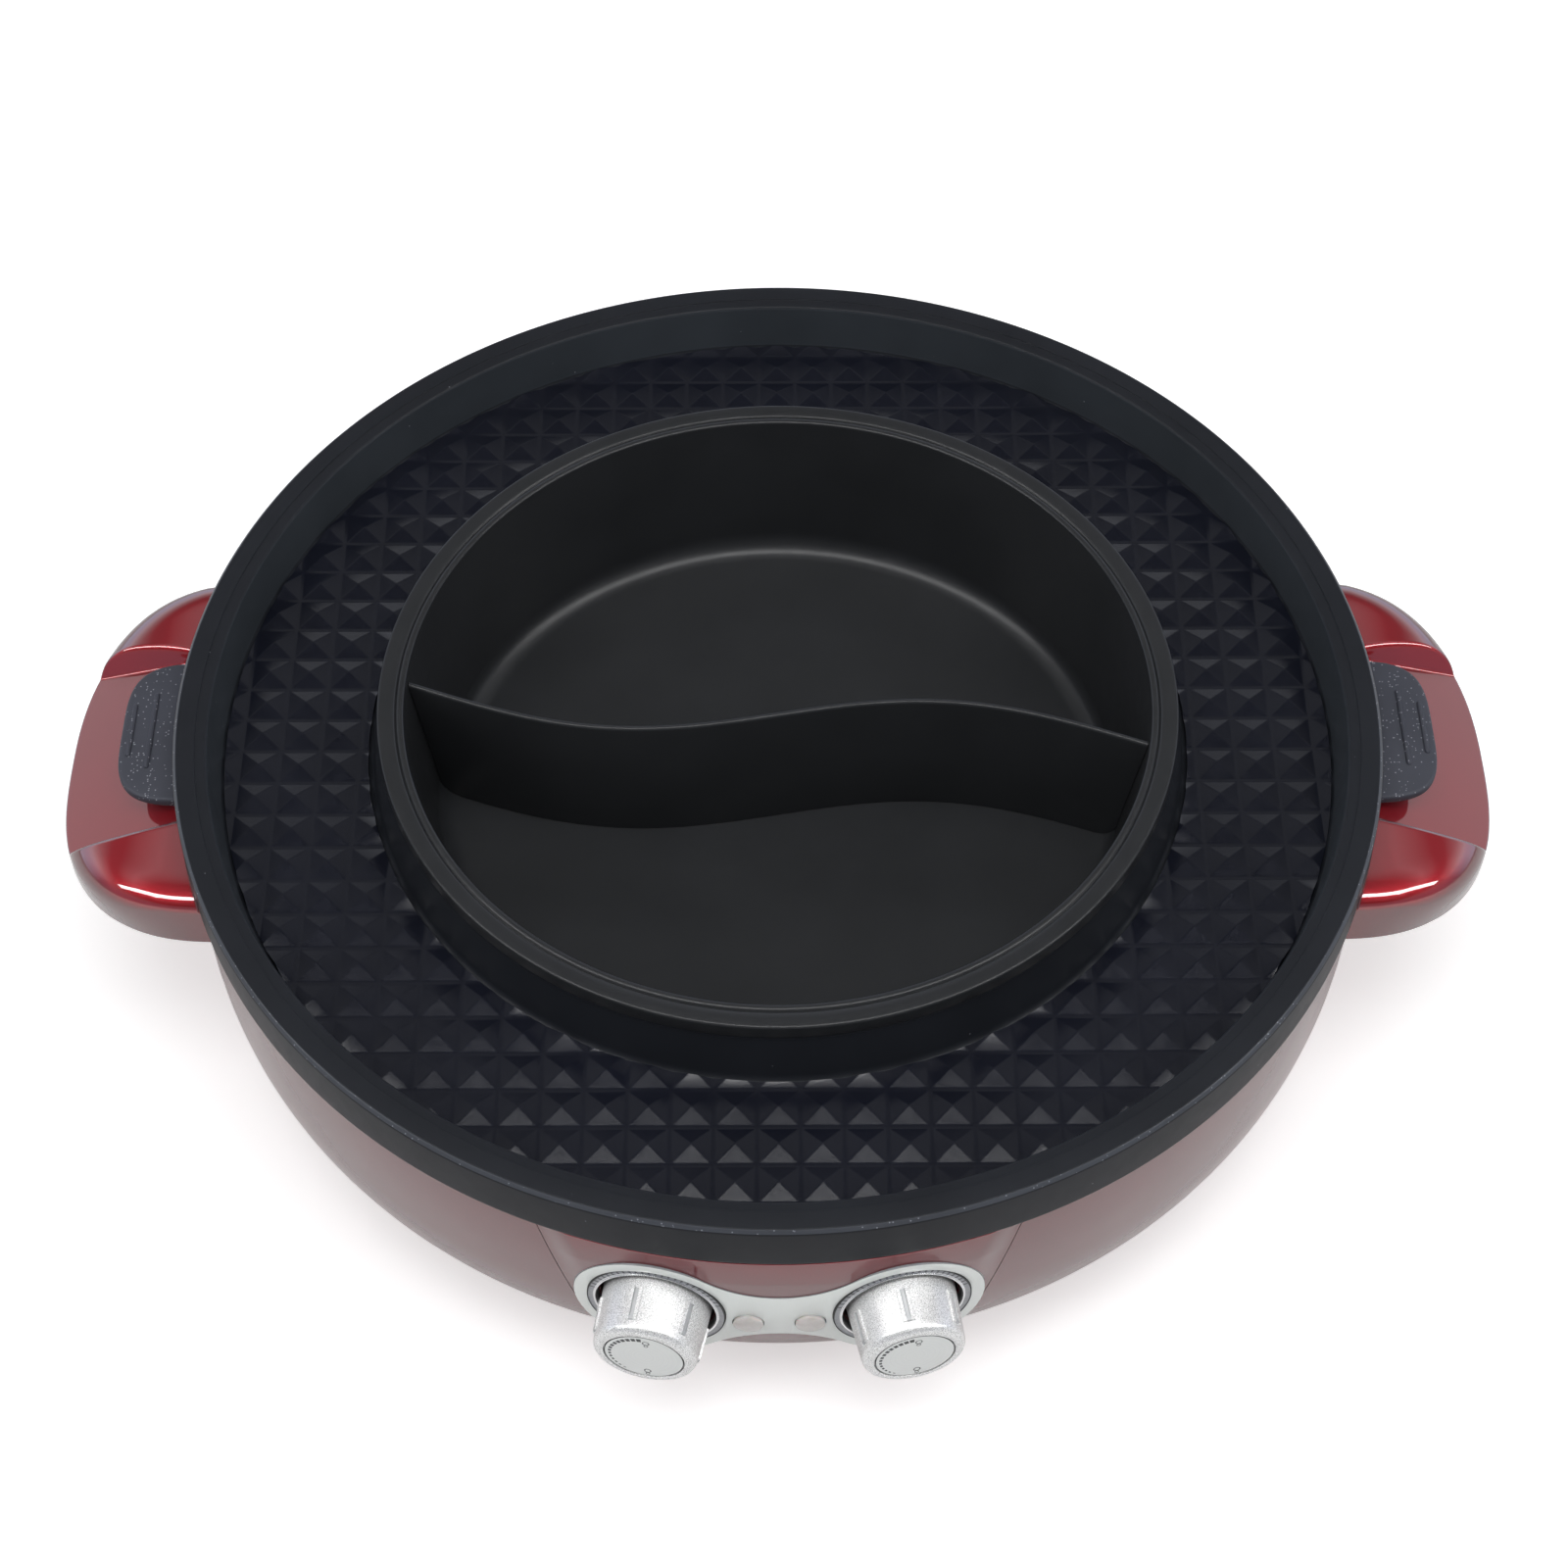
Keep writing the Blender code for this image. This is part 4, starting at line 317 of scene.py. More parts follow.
# Sizes worked out from the ones above
PAN_BASE_Z = LIP_Z + SEAT_GAP
PAN_COLLAR_Z = PAN_RIM_Z - PAN_COLLAR_BELOW_RIM
LIP_BORE = BELLY_RADIUS - LIP_INSET - LIP_WIDTH
TRIM_RADIUS = AXIS_Y - TRIM_LOW.y
RING_RADIUS = RING_BORE + RING_WIDTH
PLATE_FRONT = TRIM_RADIUS
RING_FRONT = PLATE_FRONT - RING_BELOW_TRIM / 2
RING_BACK = TRIM_RADIUS - RING_BELOW_TRIM - RING_THICKNESS
TRIM_END_RADIUS = (TRIM_HIGH.z - TRIM_LOW.z) / 2
KNOB_HALF_SPACING = TRIM_HIGH.x - TRIM_END_RADIUS
KNOB_ANGLE = asin(KNOB_HALF_SPACING / TRIM_RADIUS)
LAMP_ANGLE = asin((high("lamp_lens_right").x + low("lamp_lens_right").x) / 2 / TRIM_RADIUS)
KNOB_BACK = RING_BACK - KNOB_BEHIND_RING
KNOB_FACE = KNOB_BACK + KNOB_LENGTH
CAP_TOP = KNOB_FACE - CAP_RECESS + CAP_THICKNESS
RIB_PITCH = 2 * pi / RIB_COUNT
CAP_RADIUS = KNOB_FRONT_RADIUS - CAP_INSET


# Mesh helpers

def fillet(before, corner, after, reach, steps=5):
    # Rounds one corner of an outline with a short curve
    corner = Vector(corner)
    back = Vector(before) - corner
    ahead = Vector(after) - corner
    reach = min(reach, 0.49 * back.length, 0.49 * ahead.length)
    start = corner + back.normalized() * reach
    end = corner + ahead.normalized() * reach
    points = []
    for step in range(steps + 1):
        share = step / steps
        points.append(tuple(start * (1 - share)**2 + corner * 2 * share * (1 - share)
                            + end * share**2))
    return points


def rounded(outline):
    # Points of (radius, height) or (radius, height, rounding), as one closed outline
    points = []
    for index, point in enumerate(outline):
        if len(point) == 2 or point[2] == 0:
            points.append(tuple(point[:2]))
            continue
        before = outline[index - 1][:2]
        after = outline[(index + 1) % len(outline)][:2]
        points += fillet(before, point[:2], after, point[2])
    return points


def turned(outline, steps=ROUND_STEPS, start=0.0, sweep=2 * pi):
    # The closed outline of (radius, height) spun round local Z, whole or as a capped sector
    data = bmesh.new()
    whole = abs(sweep - 2 * pi) < radians(1)
    count = steps if whole else steps + 1
    rings = []
    for radius, height in outline:
        if radius == 0:
            rings.append([data.verts.new((0, 0, height))] * count)
            continue
        ring = []
        for step in range(count):
            turn = start + sweep * step / steps
            ring.append(data.verts.new((radius * cos(turn), radius * sin(turn), height)))
        rings.append(ring)
    for first, second in zip(rings, rings[1:] + rings[:1]):
        for step in range(steps):
            after = (step + 1) % count
            corners = [first[step], first[after], second[after], second[step]]
            corners = list(dict.fromkeys(corners))
            if len(corners) > 2:
                data.faces.new(corners)
    if not whole:
        data.faces.new([ring[0] for ring in rings])
        data.faces.new([ring[-1] for ring in rings])
    return data


def join_rings(data, rings, looped=False):
    # Faces from each ring of corners to the next, with capped ends unless the rings loop
    following = rings[1:] + rings[:1] if looped else rings[1:]
    for first, second in zip(rings, following):
        for index in range(len(first)):
            after = (index + 1) % len(first)
            corners = list(dict.fromkeys((first[index], first[after], second[after],
                                          second[index])))
            if len(corners) > 2:
                data.faces.new(corners)
    if not looped:
        data.faces.new(rings[0])
        data.faces.new(rings[-1])


def prism(outline, bottom, top):
    data = bmesh.new()
    lower = [data.verts.new((x, y, bottom)) for x, y in outline]
    upper = [data.verts.new((x, y, top)) for x, y in outline]
    data.faces.new(lower)
    data.faces.new(upper)
    for index in range(len(outline)):
        after = (index + 1) % len(outline)
        data.faces.new((lower[index], lower[after], upper[after], upper[index]))
    return data


def front_prism(outline, near, far):
    # An outline of (x, z) seen from the front, drawn out from the pan's axis toward -Y
    data = prism([(x, z) for x, z in outline], near, far)
    for corner in data.verts:
        x, z, reach = corner.co
        corner.co = (x, -reach, z)
    return data


def rod(radius, bottom, top, steps=SMALL_STEPS, centre=(0, 0)):
    outline = []
    for step in range(steps):
        turn = 2 * pi * (step + 0.5) / steps
        outline.append((centre[0] + radius * cos(turn), centre[1] + radius * sin(turn)))
    return prism(outline, bottom, top)


def arc(centre, radius, start, end, steps):
    return [(centre[0] + radius * cos(start + (end - start) * step / steps),
             centre[1] + radius * sin(start + (end - start) * step / steps))
            for step in range(steps + 1)]


def add(name, data, place=None):
    bmesh.ops.recalc_face_normals(data, faces=data.faces)
    mesh = bpy.data.meshes.new(name)
    data.to_mesh(mesh)
    data.free()
    made = bpy.data.objects.new(name, mesh)
    bpy.context.scene.collection.objects.link(made)
    made.matrix_world = place if place else Matrix.Translation(AXIS)
    return made


def bake(piece):
    # Puts the piece's place into its mesh, so that its box is read as it stands
    piece.data.transform(piece.matrix_world)
    piece.matrix_world = Matrix.Identity(4)
    return piece


def settle(piece):
    # Turns the piece's modifiers into mesh
    bpy.context.view_layer.update()
    graph = bpy.context.evaluated_depsgraph_get()
    mesh = bpy.data.meshes.new_from_object(piece.evaluated_get(graph), depsgraph=graph)
    piece.modifiers.clear()
    old = piece.data
    piece.data = mesh
    bpy.data.meshes.remove(old)


def combine(piece, data, operation="DIFFERENCE", place=None):
    tool = add("cutting_tool", data, place)
    step = piece.modifiers.new("combine", "BOOLEAN")
    step.operation = operation
    step.object = tool
    step.solver = "EXACT"
    settle(piece)
    bpy.data.objects.remove(tool)


def soften(piece, width, steps=2, angle=40):
    step = piece.modifiers.new("soften", "BEVEL")
    step.width = width
    step.segments = steps
    step.limit_method = "ANGLE"
    step.angle_limit = radians(angle)
    step.harden_normals = False
    settle(piece)


def dress(piece, body, materials, nodes=(), paint=None, sharp=32):
    # Materials, smooth shading, the body it rides on and the nodes it stands for
    mesh = piece.data
    mesh.materials.clear()
    for finish in materials:
        mesh.materials.append(MATERIALS[finish])
    for face in mesh.polygons:
        face.material_index = paint(face.center, face.normal) if paint else 0
    mesh.shade_smooth()
    mesh.set_sharp_from_angle(angle=radians(sharp))
    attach(piece, body)
    if nodes:
        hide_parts(*nodes)
    return piece


def front_place(angle, height):
    # Local Z points outward at this angle from the front, local Y points up
    return Matrix.Translation((0, AXIS_Y, height)) @ Euler((pi / 2, 0, angle)).to_matrix().to_4x4()


def superellipse(root, reach, half_width, power, steps):
    points = []
    for step in range(steps + 1):
        turn = pi * step / steps - pi / 2
        along = max(cos(turn), 0)**(2 / power) if 0 < step < steps else 0
        across = abs(sin(turn))**(2 / power)
        points.append((root + (reach - root) * along,
                       half_width * across * (1 if turn > 0 else -1)))
    return points


# Material helpers

class Nodes:
    # Short ways to write a node tree

    def __init__(self, tree):
        self.tree = tree

    def node(self, kind, **values):
        made = self.tree.nodes.new(kind)
        for name, value in values.items():
            made.inputs[name.replace("_", " ")].default_value = value
        return made

    def link(self, output, socket):
        self.tree.links.new(output, socket)

    def math(self, kind, first, second=0.0):
        made = self.tree.nodes.new("ShaderNodeMath")
        made.operation = kind
        for socket, value in zip(made.inputs, (first, second)):
            if hasattr(value, "is_linked"):
                self.link(value, socket)
            else:
                socket.default_value = value
        return made.outputs[0]

    def ramp(self, factor, stops):
        made = self.tree.nodes.new("ShaderNodeValToRGB")
        points = made.color_ramp.elements
        while len(points) < len(stops):
            points.new(0.5)
        for point, (position, colour) in zip(points, stops):
            point.position = position
            point.color = (*colour, 1)
        self.link(factor, made.inputs["Fac"])
        return made.outputs["Color"]

    def grey_ramp(self, factor, stops):
        return self.ramp(factor, [(position, (value, value, value)) for position, value in stops])

    def spread(self, factor, lowest, highest):
        made = self.node("ShaderNodeMapRange", To_Min=lowest, To_Max=highest)
        self.link(factor, made.inputs["Value"])
        return made.outputs["Result"]


class Finish(Nodes):
    # One node material: a Principled shader with its textures in the piece's own coordinates

    def __init__(self, name, colour, roughness, metallic=0.0):
        self.made = bpy.data.materials.new(name)
        self.made.use_nodes = True
        super().__init__(self.made.node_tree)
        self.shader = self.tree.nodes["Principled BSDF"]
        self.shader.inputs["Base Color"].default_value = (*colour, 1)
        self.shader.inputs["Roughness"].default_value = roughness
        self.shader.inputs["Metallic"].default_value = metallic
        self.place = self.node("ShaderNodeTexCoord").outputs["Object"]

    def noise(self, scale, detail=2.0, stretch=None):
        made = self.node("ShaderNodeTexNoise", Scale=scale, Detail=detail)
        source = self.place
        if stretch:
            squeeze = self.node("ShaderNodeMapping", Scale=stretch)
            self.link(source, squeeze.inputs["Vector"])
            source = squeeze.outputs["Vector"]
        self.link(source, made.inputs["Vector"])
        return made.outputs["Fac"]

    def specks(self, scale):
        made = self.node("ShaderNodeTexVoronoi", Scale=scale)
        self.link(self.place, made.inputs["Vector"])
        return made

    def mix(self, factor, first, second):
        made = self.tree.nodes.new("ShaderNodeMix")
        made.data_type = "RGBA"
        self.link(factor, made.inputs["Factor"])
        for socket, value in ((made.inputs["A"], first), (made.inputs["B"], second)):
            if hasattr(value, "is_linked"):
                self.link(value, socket)
            else:
                socket.default_value = (*value, 1)
        return made.outputs["Result"]

    def colour(self, output):
        self.link(output, self.shader.inputs["Base Color"])

    def roughness(self, output):
        self.link(output, self.shader.inputs["Roughness"])

    def bump(self, output, strength, depth):
        made = self.node("ShaderNodeBump", Strength=strength, Distance=depth)
        self.link(output, made.inputs["Height"])
        self.link(made.outputs["Normal"], self.shader.inputs["Normal"])

    def set(self, **values):
        for name, value in values.items():
            self.shader.inputs[name.replace("_", " ")].default_value = value


def grainy(name, colour, shade_share, roughness, metallic=0.0, scale=900.0, bump=0.1):
    # A moulded or cast surface: two close shades, uneven gloss and fine grain
    made = Finish(name, colour, roughness, metallic)
    broad = made.noise(scale * 0.05, 4.0)
    dark = tuple(value * shade_share for value in colour)
    made.colour(made.ramp(broad, ((0.3, dark), (0.7, colour))))
    fine = made.noise(scale, 3.0)
    made.roughness(made.spread(fine, roughness - 0.06, roughness + 0.06))
    made.bump(fine, bump, COARSE_GRAIN_DEPTH)
    return made.made


def red_paint():
    # Deep red flake paint under clear lacquer, its colour darkened where it is seen at a slant as a
    # painted shade
    made = Finish("red_gloss_paint", (0.2, 0.004, 0.01), 0.36, 0.4)
    # Painted shade: the base colour darkens as the surface turns away from the view
    facing = made.node("ShaderNodeLayerWeight", Blend=0.5).outputs["Facing"]
    slant_shade = made.ramp(facing, ((0.0, (0.31, 0.004, 0.011)), (0.28, (0.31, 0.004, 0.011)),
                               (0.37, (0.2, 0.003, 0.008)), (0.5, (0.11, 0.002, 0.005)),
                               (0.8, (0.08, 0.002, 0.004))))
    cloud = made.noise(38.0, 3.0)
    base = made.mix(made.spread(cloud, 0.0, 0.2), slant_shade, (0.02, 0.001, 0.002))
    flakes = made.specks(5200.0)
    bright = made.math("GREATER_THAN", flakes.outputs["Color"], 0.9)
    made.colour(made.mix(made.math("MULTIPLY", bright, 0.2), base, (0.4, 0.02, 0.04)))
    made.bump(made.noise(420.0, 1.0), 0.02, COARSE_GRAIN_DEPTH)
    made.roughness(made.spread(cloud, 0.34, 0.42))
    made.set(Specular_IOR_Level=0.2, Coat_Weight=1.0, Coat_Roughness=0.02, Coat_IOR=1.9)
    return made.made


def coating(name, colour, roughness, speck_share, shine=0.3, speck_scale=1500.0):
    # Sprayed non-stick coating: near black, with a fine grain and a few light specks
    made = Finish(name, colour, roughness)
    specks = made.specks(speck_scale)
    chosen = made.math("GREATER_THAN", specks.outputs["Color"], 1 - speck_share)
    near = made.math("LESS_THAN", specks.outputs["Distance"], 0.34)
    broad = made.noise(26.0, 3.0)
    base = made.ramp(broad, ((0.3, tuple(value * 0.8 for value in colour)), (0.7, colour)))
    made.colour(made.mix(made.math("MULTIPLY", chosen, near), base, (0.24, 0.25, 0.28)))
    fine = made.noise(2600.0, 2.0)
    made.roughness(made.spread(made.noise(160.0, 3.0), roughness - 0.05, roughness + 0.06))
    made.bump(fine, 0.25, FINE_GRAIN_DEPTH)
    made.set(Specular_IOR_Level=shine)
    return made.made


def satin_metal():
    made = Finish("knob_blasted_metal", (0.85, 0.86, 0.87), 0.36, 0.5)
    grain = made.noise(3100.0, 2.0)
    light = made.grey_ramp(grain, ((0.38, 0.48), (0.5, 0.8), (0.62, 0.98)))
    made.colour(light)
    made.roughness(made.spread(made.noise(120.0, 3.0), 0.3, 0.4))
    made.bump(grain, 0.4, BLASTED_GRAIN_DEPTH)
    return made.made


def panel_paint():
    made = Finish("panel_silver_paint", (0.74, 0.76, 0.75), 0.38, 0.1)
    grain = made.noise(2800.0, 2.0)
    made.colour(made.mix(made.spread(grain, 0.0, 0.4), (0.82, 0.85, 0.83), (0.64, 0.67, 0.65)))
    made.roughness(made.spread(made.noise(90.0, 2.0), 0.32, 0.42))
    made.bump(grain, 0.08, FINE_GRAIN_DEPTH)
    made.set(Coat_Weight=0.3, Coat_Roughness=0.15)
    return made.made


def ring_band():
    # Smoked ring with fine dial ticks round its upper half
    made = Finish("dial_ring_smoked", (0.24, 0.25, 0.26), 0.3, 0.4)
    parts = made.node("ShaderNodeSeparateXYZ")
    made.link(made.place, parts.inputs["Vector"])
    turn = made.math("ARCTAN2", parts.outputs["Y"], parts.outputs["X"])
    beat = made.math("SINE", made.math("MULTIPLY", turn, 62.0))
    tick = made.math("GREATER_THAN", beat, 0.55)
    upper = made.math("GREATER_THAN", parts.outputs["Y"], RING_TICKS_ABOVE)
    cloud = made.noise(700.0, 2.0)
    base = made.ramp(cloud, ((0.2, (0.26, 0.27, 0.29)), (0.8, (0.36, 0.37, 0.39))))
    made.colour(made.mix(made.math("MULTIPLY", tick, upper), base, (0.09, 0.09, 0.1)))
    made.roughness(made.spread(cloud, 0.26, 0.36))
    return made.made


def brushed(name, colour, roughness, metallic, rings=False):
    # Metal or print with fine lines, round local Z where rings is true
    made = Finish(name, colour, roughness, metallic)
    if rings:
        parts = made.node("ShaderNodeSeparateXYZ")
        made.link(made.place, parts.inputs["Vector"])
        reach = made.math("SQRT", made.math(
            "ADD", made.math("POWER", parts.outputs["X"], 2.0),
            made.math("POWER", parts.outputs["Y"], 2.0)))
        join = made.node("ShaderNodeCombineXYZ")
        made.link(reach, join.inputs["X"])
        texture = made.node("ShaderNodeTexNoise", Scale=2600.0, Detail=2.0)
        made.link(join.outputs["Vector"], texture.inputs["Vector"])
        lines = texture.outputs["Fac"]
    else:
        lines = made.noise(600.0, 3.0, (1.0, 8.0, 1.0))
    dark = tuple(value * 0.82 for value in colour)
    made.colour(made.mix(made.spread(lines, 0.0, 1.0), colour, dark))
    made.roughness(made.spread(lines, roughness - 0.07, roughness + 0.07))
    made.bump(lines, 0.08, FINE_GRAIN_DEPTH)
    return made.made


def lens_plastic():
    made = Finish("lens_milky_plastic", (0.52, 0.49, 0.47), 0.22)
    cloud = made.noise(400.0, 3.0)
    made.colour(made.ramp(cloud, ((0.3, (0.58, 0.54, 0.52)), (0.7, (0.68, 0.65, 0.63)))))
    made.roughness(made.spread(cloud, 0.18, 0.28))
    made.set(Subsurface_Weight=0.25, Subsurface_Scale=LENS_SCATTER, Coat_Weight=0.5,
             Coat_Roughness=0.08)
    return made.made


MATERIALS = {
    "red": red_paint(),
    "pan": coating("pan_speckled_coating", (0.0135, 0.015, 0.019), 0.42, 0.03, 0.12, 1400.0),
    # A lighter copy of the coating for the pan's inner wall, painted light
    "lit_pan_wall": coating("pan_wall_painted_light", (0.032, 0.037, 0.044), 0.4, 0.03, 0.15, 1400.0),
    # A lighter copy of the coating for the rim's chamfer, a painted highlight
    "pan_edge_highlight": coating("pan_chamfer_painted_highlight", (0.055, 0.06, 0.072), 0.34, 0.2, 0.3, 1300.0),
    "floor": coating("grill_floor_coating", (0.006, 0.007, 0.013), 0.2, 0.004, 0.32),
    "ear": coating("ear_speckled_coating", (0.055, 0.058, 0.074), 0.5, 0.22, 0.15, 1200.0),
    "pot": coating("pot_coating", (0.018, 0.019, 0.021), 0.34, 0.01, 0.25),
    "knob": satin_metal(),
    # A darker metal for the floors between the grip ribs' rails, a painted shade
    "knob_channel_shade": grainy("knob_channel_painted_shade", (0.5, 0.51, 0.52), 0.8, 0.5, 0.6, 1500.0),
    "panel": panel_paint(),
    "panel_edge": grainy("panel_edge_grey", (0.26, 0.27, 0.28), 0.85, 0.4),
    "ring": ring_band(),
    "ring_bead": brushed("ring_bright_bead", (0.82, 0.83, 0.84), 0.2, 0.9),
    "cap": brushed("cap_brushed_print", (0.86, 0.88, 0.87), 0.36, 0.3, True),
    # Dark print for the cap's marks, also used on the cap's edge as a painted shade
    "cap_print_and_shade": grainy("cap_print_and_edge_shade", (0.05, 0.052, 0.055), 0.8, 0.5),
    "lens": lens_plastic(),
    "shield": brushed("shield_steel", (0.62, 0.62, 0.62), 0.3, 1.0),
    "plate": brushed("plate_turned_aluminium", (0.58, 0.58, 0.57), 0.38, 0.9, True),
    "sensor": brushed("sensor_turned_steel", (0.66, 0.65, 0.63), 0.28, 1.0, True),
    "element": grainy("element_heat_steel", (0.19, 0.18, 0.17), 0.7, 0.45, 0.8, 1400.0),
    "ceramic": grainy("saddle_ceramic", (0.72, 0.69, 0.62), 0.9, 0.6, 0.0, 1500.0),
    "zinc": brushed("zinc_plated_steel", (0.62, 0.62, 0.6), 0.32, 1.0),
    "brass": brushed("pin_brass", (0.62, 0.45, 0.18), 0.28, 1.0),
    "black": grainy("moulded_black_plastic", (0.022, 0.022, 0.023), 0.8, 0.5, 0.0, 1800.0, 0.2),
    "rubber": grainy("foot_rubber", (0.02, 0.02, 0.02), 0.75, 0.8, 0.0, 2200.0, 0.3),
    "wire": grainy("wire_silicone_cover", (0.36, 0.03, 0.02), 0.85, 0.5, 0.0, 1200.0),
    "lamp": grainy("lamp_body_nylon", (0.7, 0.68, 0.62), 0.9, 0.45),
}


# Housing

def housing_curve(inset, steps=26, lip_steps=8):
    points = []
    belly_z = LIP_Z - LIP_ABOVE_BELLY
    for step in range(lip_steps):
        share = 1 - step / lip_steps
        points.append((BELLY_RADIUS - inset - LIP_INSET * share**2,
                       belly_z + LIP_ABOVE_BELLY * share))
    drop = belly_z - BASE_Z - inset
    spread = SPREAD - inset
    for step in range(steps + 1):
        turn = pi / 2 * step / steps
        out = cos(turn) if step < steps else 0
        points.append((BELLY_RADIUS - SPREAD + spread * out,
                       belly_z - drop * sin(turn)**(2 / DROP_POWER)))
    return points


def housing_outline(steps=26, lip_steps=8):
    outer = housing_curve(0, steps, lip_steps)
    opening = BELLY_RADIUS - SPREAD - FLAT_WIDTH
    lip_under = LIP_Z - WALL
    outline = [(*outer[0], LIP_ROUND)] + outer[1:]
    outline += [(opening, BASE_Z, WALL / 3), (opening, BASE_Z + WALL, WALL / 3)]
    outline += reversed(housing_curve(WALL)[1:])
    outline += [(BELLY_RADIUS - LIP_INSET - WALL, lip_under), (LIP_BORE, lip_under, LIP_ROUND),
                (LIP_BORE, LIP_Z, LIP_ROUND)]
    return rounded(outline)


def fascia_half_width(z, inset):
    middle = KNOB_HALF_SPACING + TRIM_END_RADIUS + FASCIA_SIDE_MARGIN - inset
    return middle + FASCIA_SLOPE_SHARE * (z - KNOB_Z)


def fascia_outline(inset):
    bottom_z = KNOB_Z - FASCIA_BELOW_KNOBS + inset
    top_z = LIP_Z + OVERRUN
    bottom = fascia_half_width(bottom_z, inset)
    top = fascia_half_width(top_z, inset)
    return ((-bottom, bottom_z), (bottom, bottom_z), (top, top_z), (-top, top_z))


def waist_arc(waist, end_radius, side):
    radius = (KNOB_HALF_SPACING**2 + waist**2 - end_radius**2) / (2 * (end_radius - waist))
    lean = atan2(KNOB_HALF_SPACING, waist + radius)
    centre = (0, KNOB_Z + side * (waist + radius))
    start = -side * pi / 2 - lean
    return arc(centre, radius, start, start + 2 * lean, 16), lean


def trim_outline(margin):
    # The plate's waisted outline seen from the front
    end_radius = TRIM_END_RADIUS + margin
    above, lean_above = waist_arc(TRIM_WAIST_ABOVE + margin, end_radius, 1)
    below, lean_below = waist_arc(TRIM_WAIST_BELOW + margin, end_radius, -1)
    right = arc((KNOB_HALF_SPACING, KNOB_Z), end_radius, pi / 2 + lean_above,
                -pi / 2 - lean_below, 40)
    left = arc((-KNOB_HALF_SPACING, KNOB_Z), end_radius, 3 * pi / 2 + lean_below,
               pi / 2 - lean_above, 40)
    return above[:-1] + right[:-1] + below[:-1] + left[:-1]


def smooth_step(value):
    share = min(max(value, 0), 1)
    return share**2 * (3 - 2 * share)


def swell(data):
    # The fascia's skin stands out gently, to be nearly level with the plate above its middle
    for corner in data.verts:
        x, y, z = corner.co
        reach = hypot(x, y)
        if reach < BELLY_RADIUS - LIP_INSET - LIP_ROUND / 2:
            continue
        level = smooth_step((z - KNOB_Z + SWELL_FADE / 2) / SWELL_FADE)
        aside = smooth_step((fascia_half_width(z, 0) - abs(x)) / SWELL_FROM_SEAM)
        under = 1 - SWELL_FALL_SHARE * min(1, max(0, 1 - (LIP_Z - z) / SWELL_BELOW_LIP))
        rise = (PLATE_FRONT - PLATE_PROUD - reach) * level * aside * under
        corner.co.x *= 1 + rise / reach
        corner.co.y *= 1 + rise / reach
    return data


def front_sector(outline, half_angle, steps):
    return turned(outline, steps, -pi / 2 - half_angle, 2 * half_angle)


def front_shell(inner, outer):
    edge = TRIM_END_RADIUS + OVERRUN
    outline = ((outer, KNOB_Z + edge), (outer, KNOB_Z - edge), (inner, KNOB_Z - edge),
               (inner, KNOB_Z + edge))
    return front_sector(outline, TRIM_SECTOR, 88)


def cutting_reach():
    return BELLY_RADIUS - 5 * LIP_WIDTH / 2, TRIM_RADIUS + OVERRUN


def knob_places():
    return [front_place(sign * KNOB_ANGLE, KNOB_Z) for sign in (-1, 1)]


def lamp_places():
    return [front_place(sign * LAMP_ANGLE, LAMP_Z) for sign in (-1, 1)]


def make_housing():
    housing = add("shell_bowl", turned(housing_outline()))
    near, far = cutting_reach()
    combine(housing, front_prism(fascia_outline(0), near, far))
    left, _, bottom = low("power_inlet") + Vector((1, 0, 1)) * INLET_WINDOW_INSET
    right, _, top = high("power_inlet") - Vector((1, 0, 1)) * INLET_WINDOW_INSET
    window = ((left, bottom), (right, bottom), (right, top), (left, top))
    combine(housing, front_prism(window, -BELLY_RADIUS + 2 * LIP_WIDTH, -BELLY_RADIUS - OVERRUN))
    dress(housing, "base", ["red"], ["housing_bowl"])


def make_fascia():
    skin = front_sector(housing_outline(40, 30), FASCIA_SECTOR, 180)
    fascia = add("shell_fascia", swell(skin))
    near, far = cutting_reach()
    combine(fascia, front_prism(fascia_outline(FASCIA_SEAM), near, far), "INTERSECT")
    pad = add("fascia_pad", front_shell(BELLY_RADIUS - 2 * WALL, PLATE_FRONT - TRIM_THICKNESS))
    combine(pad, front_prism(trim_outline(PAD_MARGIN), near, far), "INTERSECT")
    joined = bmesh.new()
    joined.from_mesh(pad.data)
    bpy.data.objects.remove(pad)
    combine(fascia, joined, "UNION")
    for place in knob_places():
        combine(fascia, rod(RING_RADIUS + SEAT_GAP, RING_BACK - SEAT_GAP, far, FINE_STEPS),
                place=place)
        combine(fascia, rod(KNOB_BASE_RADIUS + KNOB_CLEARANCE, near, far, FINE_STEPS), place=place)
    for place in lamp_places():
        combine(fascia, rod(LENS_STEM + SEAT_GAP, near, far), place=place)
    dress(fascia, "base", ["red"], ["front_fascia"])


def make_trim():
    trim = add("control_plate", front_shell(PLATE_FRONT - TRIM_THICKNESS, PLATE_FRONT))
    near, far = cutting_reach()
    combine(trim, front_prism(trim_outline(0), near, far), "INTERSECT")
    for place in knob_places():
        combine(trim, rod(RING_RADIUS + SEAT_GAP / 2, near, far, FINE_STEPS), place=place)
    for place in lamp_places():
        combine(trim, rod(LENS_RADIUS + SEAT_GAP, near, far), place=place)
    soften(trim, TRIM_EDGE)

    def paint(centre, normal):
        return 0 if hypot(centre.x, centre.y) > PLATE_FRONT - TRIM_EDGE else 1

    dress(trim, "base", ["panel", "panel_edge"],
          ["control_trim"], paint)


# Controls

def knob_radius(height):
    share = (height - KNOB_BACK) / KNOB_LENGTH
    return KNOB_BASE_RADIUS + (KNOB_FRONT_RADIUS - KNOB_BASE_RADIUS) * share


